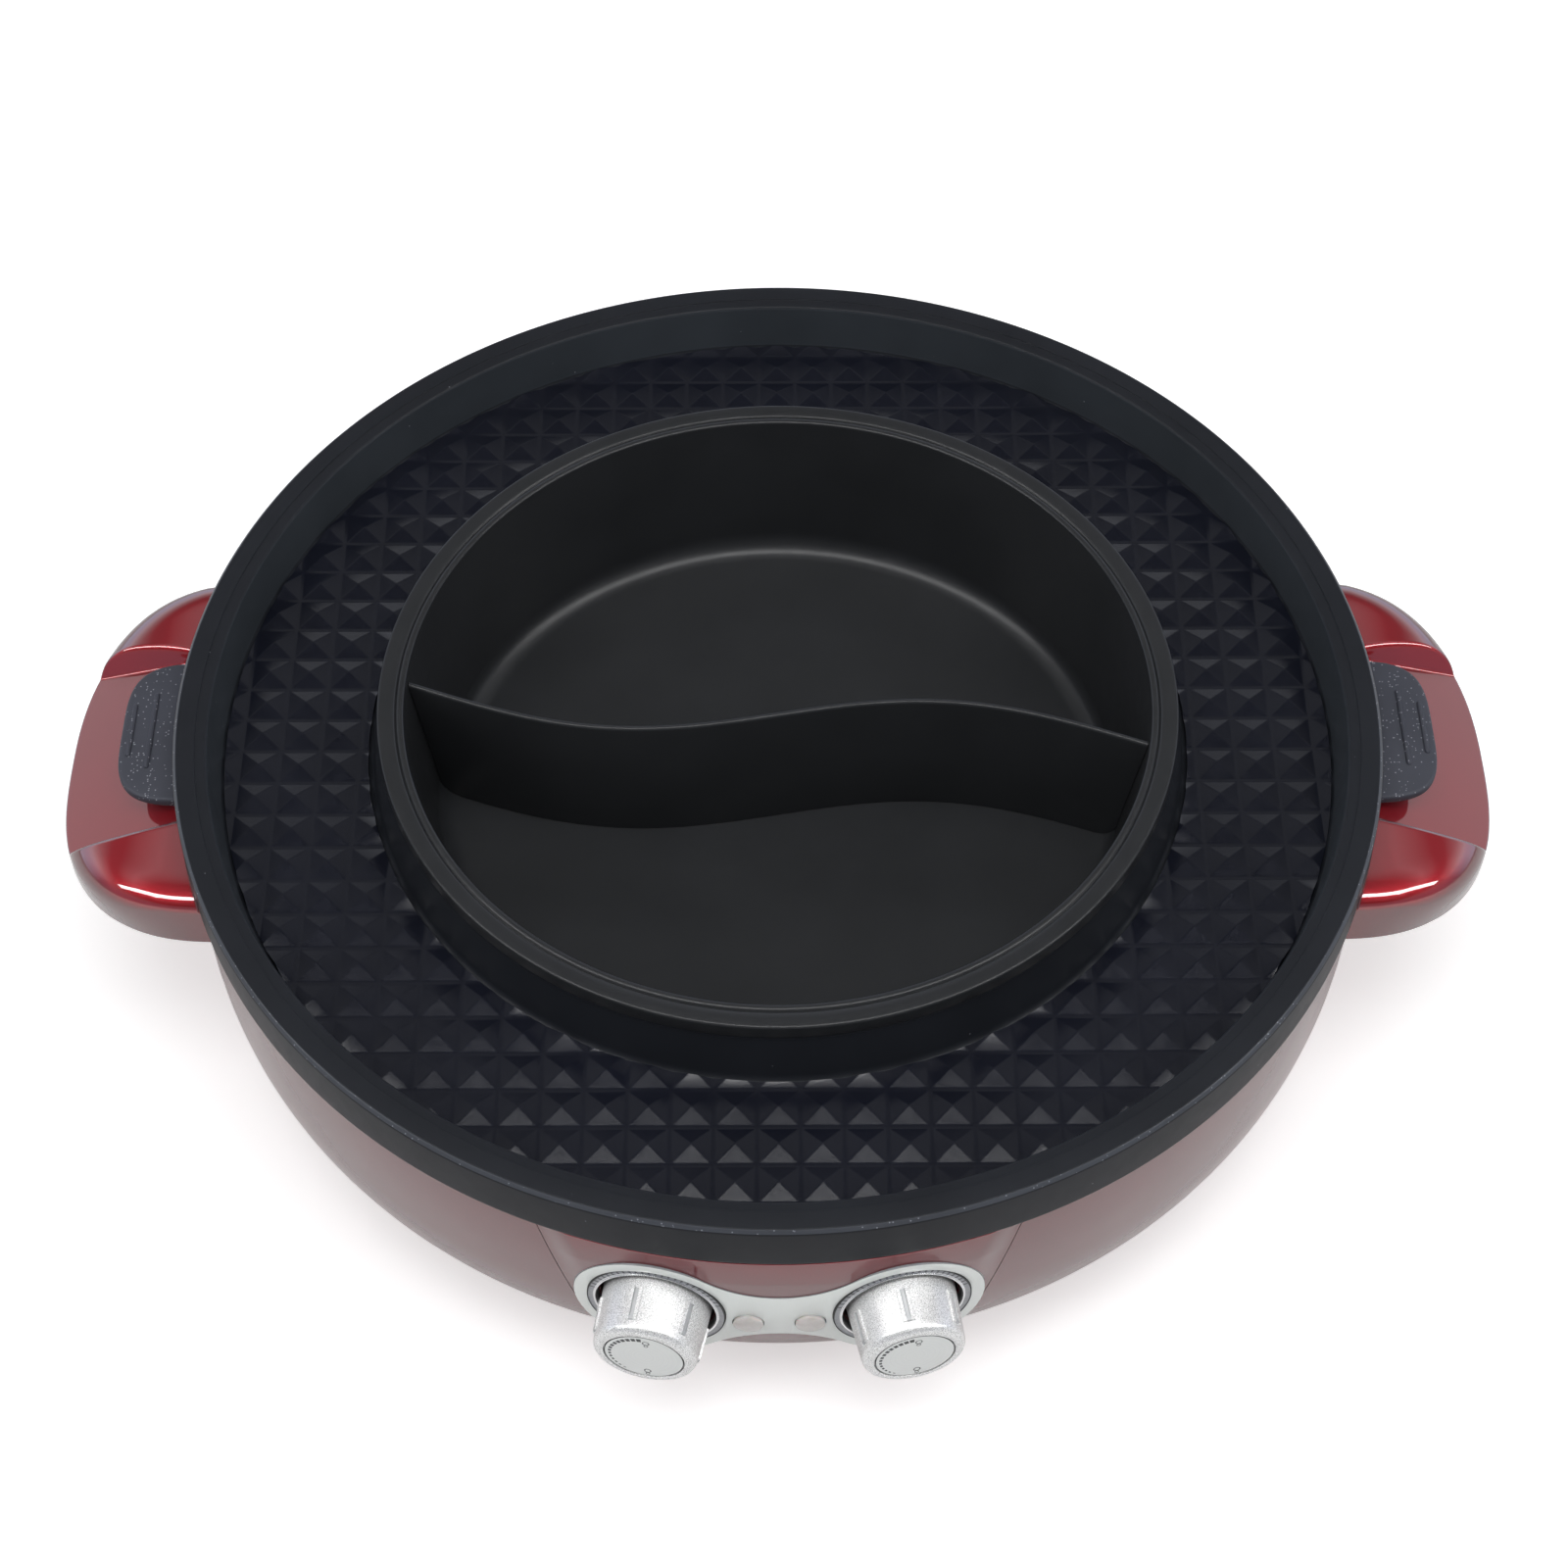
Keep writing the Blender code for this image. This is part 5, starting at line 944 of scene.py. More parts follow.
def rib_height(offset, height):
    # How far a grip rib stands out: two rails joined by a bar at the knob's front end
    rib_low = KNOB_BACK + RIB_FROM_BACK
    rib_high = KNOB_FACE - RIB_FROM_FACE

    def step(value):
        return min(max(value / RIB_EDGE, 0), 1)

    raised = min(step(RIB_HALF_WIDTH - abs(offset)), step(height - rib_low),
                 step(rib_high - height))
    channel = min(step(RIB_HALF_WIDTH - RIB_RAIL - RIB_EDGE - abs(offset)),
                  step(rib_high - RIB_RAIL - RIB_EDGE - height))
    return raised * (RIB_HEIGHT - channel * (RIB_HEIGHT - RIB_CHANNEL_HEIGHT))


def knob_columns(first_turn):
    # Angles round the knob with the offset from the nearest rib's middle, dense at its rails
    edges = [RIB_HALF_WIDTH, RIB_HALF_WIDTH - RIB_EDGE, RIB_HALF_WIDTH - RIB_RAIL - RIB_EDGE,
             RIB_HALF_WIDTH - RIB_RAIL - 2 * RIB_EDGE]
    offsets = sorted([-edge for edge in edges] + [0] + edges)
    clear = RIB_HALF_WIDTH / KNOB_FRONT_RADIUS
    columns = []
    for rib in range(RIB_COUNT):
        middle = first_turn + RIB_PITCH * rib
        for offset in offsets:
            columns.append((middle + offset / KNOB_FRONT_RADIUS, offset))
        for step in range(1, 14):
            turn = middle + clear + (RIB_PITCH - 2 * clear) * step / 14
            columns.append((turn, RIB_PITCH * KNOB_FRONT_RADIUS))
    return columns


def knob_outline():
    rib_low = KNOB_BACK + RIB_FROM_BACK
    rib_high = KNOB_FACE - RIB_FROM_FACE
    heights = [KNOB_BACK, rib_low, rib_low + RIB_EDGE]
    heights += [rib_low + (rib_high - rib_low) * share / 6 for share in range(1, 6)]
    heights += [rib_high - RIB_RAIL - 2 * RIB_EDGE, rib_high - RIB_RAIL - RIB_EDGE,
                rib_high - RIB_EDGE, rib_high]
    side = [(knob_radius(height), height) for height in heights]
    corner = KNOB_FACE - KNOB_FRONT_FILLET
    edge = [(knob_radius(corner) - KNOB_FRONT_FILLET * (1 - cos(pi / 2 * step / 8)),
             corner + KNOB_FRONT_FILLET * sin(pi / 2 * step / 8)) for step in range(9)]
    recess = CAP_RADIUS + SEAT_GAP
    floor = KNOB_FACE - CAP_RECESS - SEAT_GAP
    inside = floor - KNOB_FACE_THICKNESS
    face = rounded([edge[-1], (recess, KNOB_FACE, SEAT_GAP), (recess, floor), (0, floor)])
    hub = KNOB_BACK + KNOB_WALL
    back = [(0, hub), (KNOB_HUB_RADIUS, hub), (KNOB_HUB_RADIUS, inside),
            (knob_radius(inside) - KNOB_WALL, inside), (KNOB_BASE_RADIUS - KNOB_WALL, KNOB_BACK)]
    return side + edge + face[1:] + back


def knob_mesh(first_turn):
    data = bmesh.new()
    columns = knob_columns(first_turn)
    rings = []
    for radius, height in knob_outline():
        if radius == 0:
            rings.append([data.verts.new((0, 0, height))] * len(columns))
            continue
        outside = radius >= knob_radius(height) - RIB_EDGE
        ring = []
        for turn, offset in columns:
            reach = radius + (rib_height(offset, height) if outside else 0)
            ring.append(data.verts.new((reach * cos(turn), reach * sin(turn), height)))
        rings.append(ring)
    join_rings(data, rings, True)
    return data


def mark_sector(data, start, end, inner, outer, bottom, top, steps=4):
    # A small raised piece of print between two angles and two radii
    corners = []
    for step in range(steps + 1):
        turn = start + (end - start) * step / steps
        corners.append([data.verts.new((reach * cos(turn), reach * sin(turn), height))
                        for reach, height in ((inner, bottom), (outer, bottom), (outer, top),
                                              (inner, top))])
    join_rings(data, corners)


def mark_ring(data, centre, radius, width, bottom, top, steps=20):
    rings = []
    for reach, height in ((radius - width, bottom), (radius, bottom), (radius, top),
                          (radius - width, top)):
        rings.append([data.verts.new((centre[0] + reach * cos(2 * pi * step / steps),
                                      centre[1] + reach * sin(2 * pi * step / steps), height))
                      for step in range(steps)])
    join_rings(data, rings, True)


def cap_mesh():
    bottom = CAP_TOP - CAP_THICKNESS
    data = turned(rounded([(0, bottom), (CAP_RADIUS, bottom), (CAP_RADIUS, CAP_TOP, SEAT_GAP),
                           (0, CAP_TOP)]), FINE_STEPS)
    print_low = CAP_TOP - PRINT_DEPTH
    print_high = CAP_TOP + PRINT_HEIGHT
    outer = CAP_RADIUS * DASH_REACH_SHARE
    for index in range(DASH_COUNT):
        share = index / (DASH_COUNT - 1)
        width = CAP_RADIUS * (DASH_WIDTH_SHARE - DASH_FALL_SHARE * share)
        middle = DASH_START + DASH_SWEEP * share
        half = DASH_HALF_ANGLE - DASH_NARROWING * share
        mark_sector(data, middle - half, middle + half, outer - width, outer, print_low,
                    print_high)
    for side in (1, -1):
        y = side * CAP_RADIUS * MARK_REACH_SHARE
        mark_ring(data, (MARK_ASIDE, y), MARK_RADIUS, MARK_LINE, print_low, print_high)
        mark_ring(data, (MARK_ASIDE, y - DOT_BELOW_MARK), DOT_RADIUS, DOT_LINE, print_low,
                  print_high)
    return data


def ring_mesh():
    edge = RING_FRONT + SEAT_GAP
    bead_low = RING_BORE + RING_BEAD_FROM_BORE
    bead_high = bead_low + RING_BEAD_WIDTH
    band = RING_FRONT - RING_STEP
    land = RING_RADIUS - RING_LAND
    return turned(rounded([
        (RING_RADIUS, RING_BACK), (RING_RADIUS, RING_FRONT, SEAT_GAP / 2), (land, RING_FRONT),
        (land - RING_LAND_SLOPE, band), (bead_high + RING_STEP, band),
        (bead_high, RING_FRONT - RING_BEAD_STEP), (bead_high, edge, SEAT_GAP),
        (bead_low, edge, SEAT_GAP), (bead_low, RING_FRONT - RING_BEAD_FOOT),
        (RING_BORE, RING_FRONT - RING_BORE_STEP, SEAT_GAP), (RING_BORE, RING_BACK)]), 144)


def ring_paint(centre, normal):
    reach = hypot(centre.x, centre.y)
    bead_low = RING_BORE + RING_BEAD_FROM_BORE - RING_PAINT_MARGIN
    bead_high = bead_low + RING_BEAD_WIDTH + 2 * RING_PAINT_MARGIN
    if bead_low < reach < bead_high and centre.z > RING_FRONT - SEAT_GAP:
        return 1
    if reach > RING_RADIUS - RING_LAND - RING_LAND_SLOPE / 2 or reach < bead_low:
        return 2
    return 0


def make_knob(side, place, rib_turn):
    knob = add(f"dial_knob_{side}", knob_mesh(rib_turn), place)

    def channel(centre, normal):
        # The flat floor between a grip rib's two rails, painted darker as a painted shade
        reach = hypot(centre.x, centre.y)
        inside = KNOB_BACK + RIB_FROM_BACK < centre.z < KNOB_FACE - RIB_FROM_FACE
        turn = (atan2(centre.y, centre.x) - rib_turn) / RIB_PITCH
        offset = abs(turn - round(turn)) * RIB_PITCH * KNOB_FRONT_RADIUS
        flat = offset < RIB_HALF_WIDTH - RIB_RAIL - RIB_EDGE
        return 1 if inside and flat and reach > knob_radius(centre.z) - RIB_EDGE else 0

    dress(knob, f"{side}_dial", ["knob", "knob_channel_shade"], [f"knob_{side}"],
          channel, sharp=38)
    bake(knob)


def make_cap(side, place):
    def paint(centre, normal):
        # The cap's edge in its recess takes the dark print colour, a painted shade; the raised print
        # takes it too
        rim = hypot(centre.x, centre.y) > CAP_RADIUS - SEAT_GAP
        return 1 if rim or centre.z > CAP_TOP + PRINT_HEIGHT / 6 else 0

    dress(add(f"dial_cap_{side}", cap_mesh(), place), f"{side}_dial", ["cap", "cap_print_and_shade"],
          [f"knob_cap_{side}"], paint)


def make_lens(side, place):
    head = PLATE_FRONT - LENS_HEAD / 2
    back = AXIS_Y - high(f"lamp_lens_{side}").y
    outline = [(0, back), (LENS_STEM, back), (LENS_STEM, head), (LENS_RADIUS, head)]
    outline += [(LENS_RADIUS * cos(pi / 2 * step / 8),
                 head + LENS_HEAD + LENS_DOME * sin(pi / 2 * step / 8)) for step in range(8)]
    outline.append((0, head + LENS_HEAD + LENS_DOME))
    dress(add(f"lamp_window_{side}", turned(outline, SMALL_STEPS), place), "base", ["lens"],
          [f"lamp_lens_{side}"])


def make_controls():
    turns = (LEFT_RIB_TURN, RIGHT_RIB_TURN)
    for side, place, rib_turn in zip(("left", "right"), knob_places(), turns):
        make_knob(side, place, rib_turn)
        make_cap(side, place)
        dress(add(f"dial_bezel_{side}", ring_mesh(), place), "base",
              ["ring", "ring_bead", "black"], [f"dial_ring_{side}"], ring_paint)
    for side, place in zip(("left", "right"), lamp_places()):
        make_lens(side, place)


# Wing handles

def smooth_least(first, second, blend):
    share = min(max(0.5 + 0.5 * (second - first) / blend, 0), 1)
    return second * (1 - share) + first * share - blend * share * (1 - share)


def wing_share(x, y):
    along = max(x - WING_ROOT, 0) / (WING_REACH - WING_ROOT)
    across = abs(y) / WING_HALF_WIDTH
    return (along**WING_POWER + across**WING_POWER)**(1 / WING_POWER)


def wing_heights(x):
    # The top of the wing and its edge both fall away outward
    out = max(x - PAN_RADIUS, 0) / (WING_REACH - PAN_RADIUS)
    return (LIP_Z + WING_TOP_ABOVE_LIP - WING_TOP_FALL * out**2,
            LIP_Z - WING_EDGE_BELOW_LIP - WING_EDGE_FALL * out)


def tongue_z(x):
    inner = PAN_RADIUS + TONGUE_FROM_PAN
    outer = WING_REACH - TONGUE_FROM_REACH
    return PAN_BASE_Z - TONGUE_DROP * (x - inner) / (outer - inner)


def tongue_half_width(x):
    share = (x - WING_ROOT) / (WING_REACH - WING_ROOT)
    return TONGUE_ROOT_HALF_WIDTH + (TONGUE_HALF_WIDTH - TONGUE_ROOT_HALF_WIDTH) * share


def wing_top(x, y):
    # Height of the wing's skin: a rounded body with a tongue sunk between two shoulders
    flat = 1 - WING_ROUND / (WING_REACH - WING_ROOT)
    turn = min(max(wing_share(x, y) - flat, 0) / (1 - flat), 1)
    top, edge = wing_heights(x)
    dome = edge + (top - edge) * (1 - turn**WING_ROUND_POWER)**(1 / WING_ROUND_POWER)
    wall = tongue_z(x) + (abs(y) - tongue_half_width(x)) / TONGUE_LEAN_SHARE
    sunk = -smooth_least(-tongue_z(x), -wall, TONGUE_FOOT_ROUND)
    return smooth_least(dome, sunk, SHOULDER_ROUND)


def wing_columns():
    # Places across the wing, dense at its ends and over the tongue's two sides
    lowest = TONGUE_ROOT_HALF_WIDTH
    highest = TONGUE_HALF_WIDTH + TONGUE_LEAN_SHARE * TONGUE_DROP
    half = [WING_HALF_WIDTH * sin(pi / 2 * step / 44)**(2 / WING_POWER) for step in range(1, 44)]
    half = [y for y in half if not lowest < y < highest]
    count = int((highest - lowest) / SHOULDER_PITCH)
    half += [lowest + (highest - lowest) * step / count for step in range(count + 1)]
    half = sorted(half)
    return [-y for y in reversed(half)] + [0] + half


def wing_rows(length):
    # Shares from the root to the edge of one column, dense at the rounded edge
    crest = min(0.5, WING_ROUND / length)
    rows = [(1 - crest) * step / 30 for step in range(30)]
    rows += [1 - crest * (1 - sin(pi / 2 * step / 24)) for step in range(25)]
    return rows


def wing_mesh(sign):
    data = bmesh.new()
    start = WING_ROOT - OVERRUN
    columns = []
    for y in wing_columns():
        out = (1 - (abs(y) / WING_HALF_WIDTH)**WING_POWER)**(1 / WING_POWER)
        edge = WING_ROOT + (WING_REACH - WING_ROOT) * out
        column = []
        for share in wing_rows(edge - start):
            x = start + (edge - start) * share
            column.append(data.verts.new((sign * x, y, wing_top(x, y))))
        for x, z in ((edge, WING_BOTTOM_Z + LIP_ROUND), (edge - LIP_ROUND, WING_BOTTOM_Z),
                     (start, WING_BOTTOM_Z)):
            column.append(data.verts.new((sign * x, y, z)))
        columns.append(column)
    join_rings(data, columns)
    return data


def wing_clearance():
    bowl = [(radius + SEAT_GAP, height) for radius, height in housing_curve(0)
            if height > WING_BOTTOM_Z - 2 * OVERRUN]
    pan = PAN_RADIUS + PAN_TO_WING_GAP
    outline = [(0, PAN_RIM_Z), (pan, PAN_RIM_Z), (pan, LIP_Z)] + bowl + [(0, bowl[-1][1])]
    return turned(outline)


def wing_hollow(sign):
    # The open underside, left under the shoulders and under the tongue
    edge = superellipse(WING_ROOT, WING_REACH - WING_WALL, WING_HALF_WIDTH - WING_WALL,
                        WING_POWER, 64)
    roof = LIP_Z + WING_TOP_ABOVE_LIP - WING_TOP_FALL - WING_ROOF
    hollow = add("wing_hollow", prism([(sign * x, y) for x, y in edge], WING_BOTTOM_Z - OVERRUN,
                                      roof))
    cut = bmesh.new()
    corners = []
    for x in (WING_ROOT - OVERRUN, WING_REACH + OVERRUN):
        floor = tongue_z(x) - WING_ROOF
        low_half = tongue_half_width(x) + WING_ROOF
        high_half = low_half + TONGUE_LEAN_SHARE * (PAN_RIM_Z - floor)
        corners.append([cut.verts.new((sign * x, y, z)) for y, z in
                        ((-low_half, floor), (low_half, floor), (high_half, PAN_RIM_Z),
                         (-high_half, PAN_RIM_Z))])
    join_rings(cut, corners)
    combine(hollow, cut)
    combine(hollow, rod(BELLY_RADIUS + WING_INNER_WALL, BASE_Z, PAN_RIM_Z, FINE_STEPS))
    data = bmesh.new()
    data.from_mesh(hollow.data)
    bpy.data.objects.remove(hollow)
    return data


def make_handles():
    for side, sign in (("left", -1), ("right", 1)):
        wing = add(f"wing_{side}", wing_mesh(sign))
        combine(wing, wing_clearance())
        combine(wing, wing_hollow(sign))
        dress(wing, "base", ["red"], [f"handle_{side}"], sharp=50)


# Grill pan

def pan_outline():
    groove = PAN_FLOOR_Z - PAN_GROOVE
    rib_out = LIP_BORE - PAN_RIB_FROM_LIP
    rib_in = rib_out - PAN_RIB_WIDTH
    rib_low = low("grill_pan").z
    field_in = PAN_COLLAR_FOOT + PAN_FILLET + PAN_GROOVE_WIDTH
    field_out = PAN_WALL_FOOT - PAN_FILLET - PAN_GROOVE_WIDTH
    return rounded([
        (PAN_RADIUS - PAN_CHAMFER, PAN_RIM_Z, PAN_EDGE_ROUND),
        (PAN_RADIUS, PAN_RIM_Z - PAN_CHAMFER, PAN_RIM_ROUND),
        (PAN_RADIUS, PAN_BASE_Z + PAN_SKIRT_TAPER, PAN_SKIRT_ROUND),
        (PAN_SKIRT_RADIUS, PAN_BASE_Z, PAN_SKIRT_EDGE_ROUND),
        (rib_out, PAN_BASE_Z, PAN_EDGE_ROUND), (rib_out, rib_low, PAN_EDGE_ROUND),
        (rib_in, rib_low, PAN_EDGE_ROUND), (rib_in, PAN_BASE_Z, PAN_EDGE_ROUND),
        (PAN_COLLAR_BORE, PAN_BASE_Z, PAN_SKIRT_ROUND),
        (PAN_COLLAR_BORE, PAN_COLLAR_Z, PAN_COLLAR_ROUND),
        (PAN_COLLAR_TOP, PAN_COLLAR_Z, PAN_COLLAR_ROUND),
        (PAN_COLLAR_FOOT, groove, PAN_COLLAR_FOOT_ROUND),
        (field_in, groove, PAN_EDGE_ROUND), (field_in, PAN_FLOOR_Z, PAN_FIELD_ROUND),
        (field_out, PAN_FLOOR_Z, PAN_FIELD_ROUND), (field_out, groove, PAN_EDGE_ROUND),
        (PAN_WALL_FOOT, groove, PAN_WALL_FOOT_ROUND),
        (PAN_WALL_TOP, PAN_RIM_Z - PAN_WALL_BELOW_RIM, PAN_WALL_TOP_ROUND),
        (PAN_RIM_STEP_RADIUS, PAN_RIM_Z - PAN_RIM_STEP_DEPTH, PAN_RIM_STEP_ROUND),
        (PAN_RIM_STEP_RADIUS, PAN_RIM_Z, PAN_RIM_STEP_ROUND)])


def pyramid_field():
    # Rows of low pyramids with plain valleys between them, as one slab
    data = bmesh.new()
    count = int(FIELD_OUTER / PYRAMID_PITCH) + 1
    valley = PAN_FLOOR_Z + VALLEY_RISE
    bottom = PAN_FLOOR_Z - PAN_GROOVE
    half_pitch = PYRAMID_PITCH / 2
    half_base = PYRAMID_BASE / 2
    stops = []
    for index in range(-count, count + 1):
        middle = index * PYRAMID_PITCH
        stops += [middle - half_pitch, middle - half_base, middle, middle + half_base]
    stops.append(count * PYRAMID_PITCH + half_pitch)
    peak = PAN_FLOOR_Z + PYRAMID_HEIGHT
    grid = {}
    for column, x in enumerate(stops):
        for row, y in enumerate(stops):
            high_point = column % 4 == 2 and row % 4 == 2
            middle_line = (column % 4 == 2) != (row % 4 == 2)
            if middle_line:
                continue
            grid[column, row] = data.verts.new((x, y, peak if high_point else valley))
    spans = {0: 1, 1: 2, 3: 1}
    for column in range(len(stops) - 1):
        for row in range(len(stops) - 1):
            wide = spans.get(column % 4)
            tall = spans.get(row % 4)
            if not wide or not tall:
                continue
            ring = [grid[column, row], grid[column + wide, row],
                    grid[column + wide, row + tall], grid[column, row + tall]]
            if wide == tall == 2:
                top = grid[column + 1, row + 1]
                for index in range(4):
                    data.faces.new((ring[index], ring[(index + 1) % 4], top))
            else:
                data.faces.new(ring)
    skin = list(data.faces)
    sides = bmesh.ops.extrude_face_region(data, geom=skin)
    for item in sides["geom"]:
        if isinstance(item, bmesh.types.BMVert):
            item.co.z = bottom
    return data


def make_floor():
    floor = add("grill_floor", pyramid_field())
    soften(floor, PYRAMID_EDGE, 2, 8)
    peak = PAN_FLOOR_Z + 2 * PYRAMID_HEIGHT
    base = PAN_FLOOR_Z - PAN_GROOVE / 3
    ring = ((FIELD_INNER, base), (FIELD_INNER, PAN_FLOOR_Z), (FIELD_INNER + FIELD_BEVEL, peak),
            (FIELD_OUTER - FIELD_BEVEL, peak), (FIELD_OUTER, PAN_FLOOR_Z), (FIELD_OUTER, base))
    combine(floor, turned(ring), "INTERSECT")
    dress(floor, "pan", ["floor"], sharp=60)


def ear_mesh(sign):
    data = bmesh.new()
    edge = superellipse(0, EAR_REACH - EAR_ROOT, EAR_HALF_WIDTH, EAR_POWER, 64)
    length = EAR_REACH - EAR_ROOT
    levels = []
    for step in range(6):
        turn = pi / 2 * step / 5
        levels.append((EAR_ROUND * (1 - sin(turn)), EAR_TOP_Z - EAR_ROUND * (1 - cos(turn))))
    for step in range(6):
        turn = pi / 2 * step / 5
        levels.append((EAR_ROUND * (1 - cos(turn)), EAR_TOP_Z - EAR_THICKNESS
                       + EAR_ROUND * (1 - sin(turn))))
    rings = []
    for inset, height in levels:
        rings.append([data.verts.new((sign * (EAR_ROOT + x * (1 - inset / length)),
                                      y * (1 - inset / EAR_HALF_WIDTH), height))
                      for x, y in edge])
    join_rings(data, rings)
    for reach, half in EAR_BARS:
        bar = bmesh.ops.create_uvsphere(data, u_segments=24, v_segments=16, radius=EAR_BAR_RADIUS)
        for corner in bar["verts"]:
            shift = half - EAR_BAR_RADIUS
            y = corner.co.y + (shift if corner.co.y > 0 else -shift)
            corner.co = (sign * reach + corner.co.x, y,
                         EAR_TOP_Z + corner.co.z * EAR_BAR_HEIGHT / EAR_BAR_RADIUS)
    return data


def make_pan():
    def paint(centre, normal):
        reach = hypot(centre.x, centre.y)
        # The inner face of the pan's wall takes the lighter coating, painted light
        wall = PAN_WALL_FOOT < reach < PAN_RIM_STEP_RADIUS and centre.z > PAN_FLOOR_Z
        if centre.z < PAN_RIM_Z - PAN_CHAMFER:
            return 2 if wall else 0
        # The rim's chamfer takes the lighter coating, a painted highlight
        return 1 if reach > PAN_RADIUS - PAN_CHAMFER else 0

    dress(add("pan_casting", turned(pan_outline())), "pan",
          ["pan", "pan_edge_highlight", "lit_pan_wall"],
          ["grill_pan"], paint)
    make_floor()
    for side, sign in (("left", -1), ("right", 1)):
        dress(add(f"pan_ear_{side}", ear_mesh(sign)), "pan", ["ear"])


# Hot pot

def pot_cavity(gap):
    floor = POT_BASE_Z + POT_FLOOR + gap
    foot = POT_BASE_RADIUS - POT_WALL - gap
    corner = POT_CORNER - POT_WALL
    curve = [(POT_MOUTH - gap, POT_TOP_Z - POT_BEAD_GROOVE)]
    curve += arc((foot - corner, floor + corner), corner, 0, -pi / 2, 8)
    curve.append((0, floor))
    return curve


def pot_outline():
    under = PAN_COLLAR_Z + SEAT_GAP
    outer = rounded([(POT_MOUTH, POT_TOP_Z), (POT_RADIUS, POT_TOP_Z, POT_EDGE),
                     (POT_RADIUS, under, POT_EDGE), (POT_MOUTH + POT_WALL, under)])[1:]
    outer += arc((POT_BASE_RADIUS - POT_CORNER, POT_BASE_Z + POT_CORNER), POT_CORNER, 0, -pi / 2, 8)
    outer.append((0, POT_BASE_Z))
    inner = list(reversed(pot_cavity(0)))
    bead = POT_MOUTH + POT_BEAD_WIDTH
    groove = POT_TOP_Z - POT_BEAD_GROOVE
    crown = []
    for step in range(1, 10):
        turn = pi - pi * step / 10
        crown.append((POT_MOUTH + POT_BEAD_WIDTH / 2 + POT_BEAD_WIDTH / 2 * cos(turn),
                      groove + POT_BEAD_GROOVE * sin(turn)))
    flat = bead + POT_GROOVE_FLAT
    crown += [(flat, groove), (flat + POT_GROOVE_SLOPE, POT_TOP_Z - POT_GROOVE_LIP),
              (flat + 2 * POT_GROOVE_SLOPE, POT_TOP_Z)]
    return outer + inner + crown


def divider_y(x):
    return DIVIDER_OFFSET + DIVIDER_LEAN_SHARE * x + DIVIDER_WAVE * sin(pi * x / POT_BASE_RADIUS)


def divider_mesh():
    # A wavy wall with a rounded top edge
    reach = POT_MOUTH + POT_WALL
    half = DIVIDER_THICKNESS / 2
    profile = [(-half, POT_BASE_Z)]
    for step in range(7):
        turn = pi - pi * step / 6
        profile.append((half * cos(turn), DIVIDER_TOP_Z - half + half * sin(turn)))
    profile.append((half, POT_BASE_Z))
    data = bmesh.new()
    sections = []
    for step in range(121):
        x = reach * (2 * step / 120 - 1)
        slope = DIVIDER_LEAN_SHARE + DIVIDER_WAVE * pi / POT_BASE_RADIUS * cos(
            pi * x / POT_BASE_RADIUS)
        length = hypot(1, slope)
        sections.append([data.verts.new((x - side * slope / length, divider_y(x) + side / length, z))
                         for side, z in profile])
    join_rings(data, sections)
    return data


def make_pot():
    dress(add("pot_shell", turned(pot_outline())), "pot", ["pot"],
          ["hot_pot"])
    wall = add("pot_partition", divider_mesh())
    cavity = [(0, POT_TOP_Z - POT_BEAD_GROOVE)] + pot_cavity(SEAT_GAP)
    combine(wall, turned(cavity), "INTERSECT")
    dress(wall, "pot", ["pot"], ["pot_divider"])


# Heating parts

def make_shield():
    wall = LIP_BORE - SHIELD_FROM_LIP_BORE
    well = POT_BASE_RADIUS + SHIELD_WELL_CLEARANCE
    dish = LIP_Z - SHIELD_DISH_BELOW_LIP
    under = SHIELD_TOP_Z - SHIELD_THICKNESS
    above_dish = dish + SHIELD_THICKNESS
    above_well = SHIELD_LOW_Z + SHIELD_THICKNESS
    inner_wall = wall - SHIELD_THICKNESS
    inner_well = well - SHIELD_THICKNESS
    outline = rounded([
        (SHIELD_RADIUS, SHIELD_TOP_Z), (SHIELD_RADIUS, under), (wall, under, SHIELD_TIGHT_ROUND),
        (wall, dish, SHIELD_WIDE_ROUND), (well, dish, SHIELD_TIGHT_ROUND),
        (well, SHIELD_LOW_Z, SHIELD_WIDE_ROUND), (SHIELD_HOLE_RADIUS, SHIELD_LOW_Z),
        (SHIELD_HOLE_RADIUS, above_well), (inner_well, above_well, SHIELD_TIGHT_ROUND),
        (inner_well, above_dish, SHIELD_WIDE_ROUND), (inner_wall, above_dish, SHIELD_TIGHT_ROUND),
        (inner_wall, SHIELD_TOP_Z, SHIELD_WIDE_ROUND)])
    dress(add("shield_pressing", turned(outline)), "base", ["shield"],
          ["heat_shield"])


def make_plate():
    outline = [(PLATE_BORE, PLATE_TOP_Z, PLATE_BORE_ROUND)]
    for share in PLATE_GROOVE_SHARES:
        middle = PLATE_RADIUS * share
        outline += [(middle - PLATE_GROOVE_HALF_WIDTH, PLATE_TOP_Z, PLATE_GROOVE_EDGE_ROUND),
                    (middle, PLATE_TOP_Z - PLATE_GROOVE_DEPTH, PLATE_GROOVE_ROUND),
                    (middle + PLATE_GROOVE_HALF_WIDTH, PLATE_TOP_Z, PLATE_GROOVE_EDGE_ROUND)]
    outline += [(PLATE_RADIUS, PLATE_TOP_Z, PLATE_TOP_ROUND),
                (PLATE_RADIUS, PLATE_LOW_Z, PLATE_FOOT_ROUND),
                (PLATE_BORE, PLATE_LOW_Z, PLATE_BORE_ROUND)]
    dress(add("plate_disc", turned(rounded(outline))), "base", ["plate"],
          ["hot_plate"])


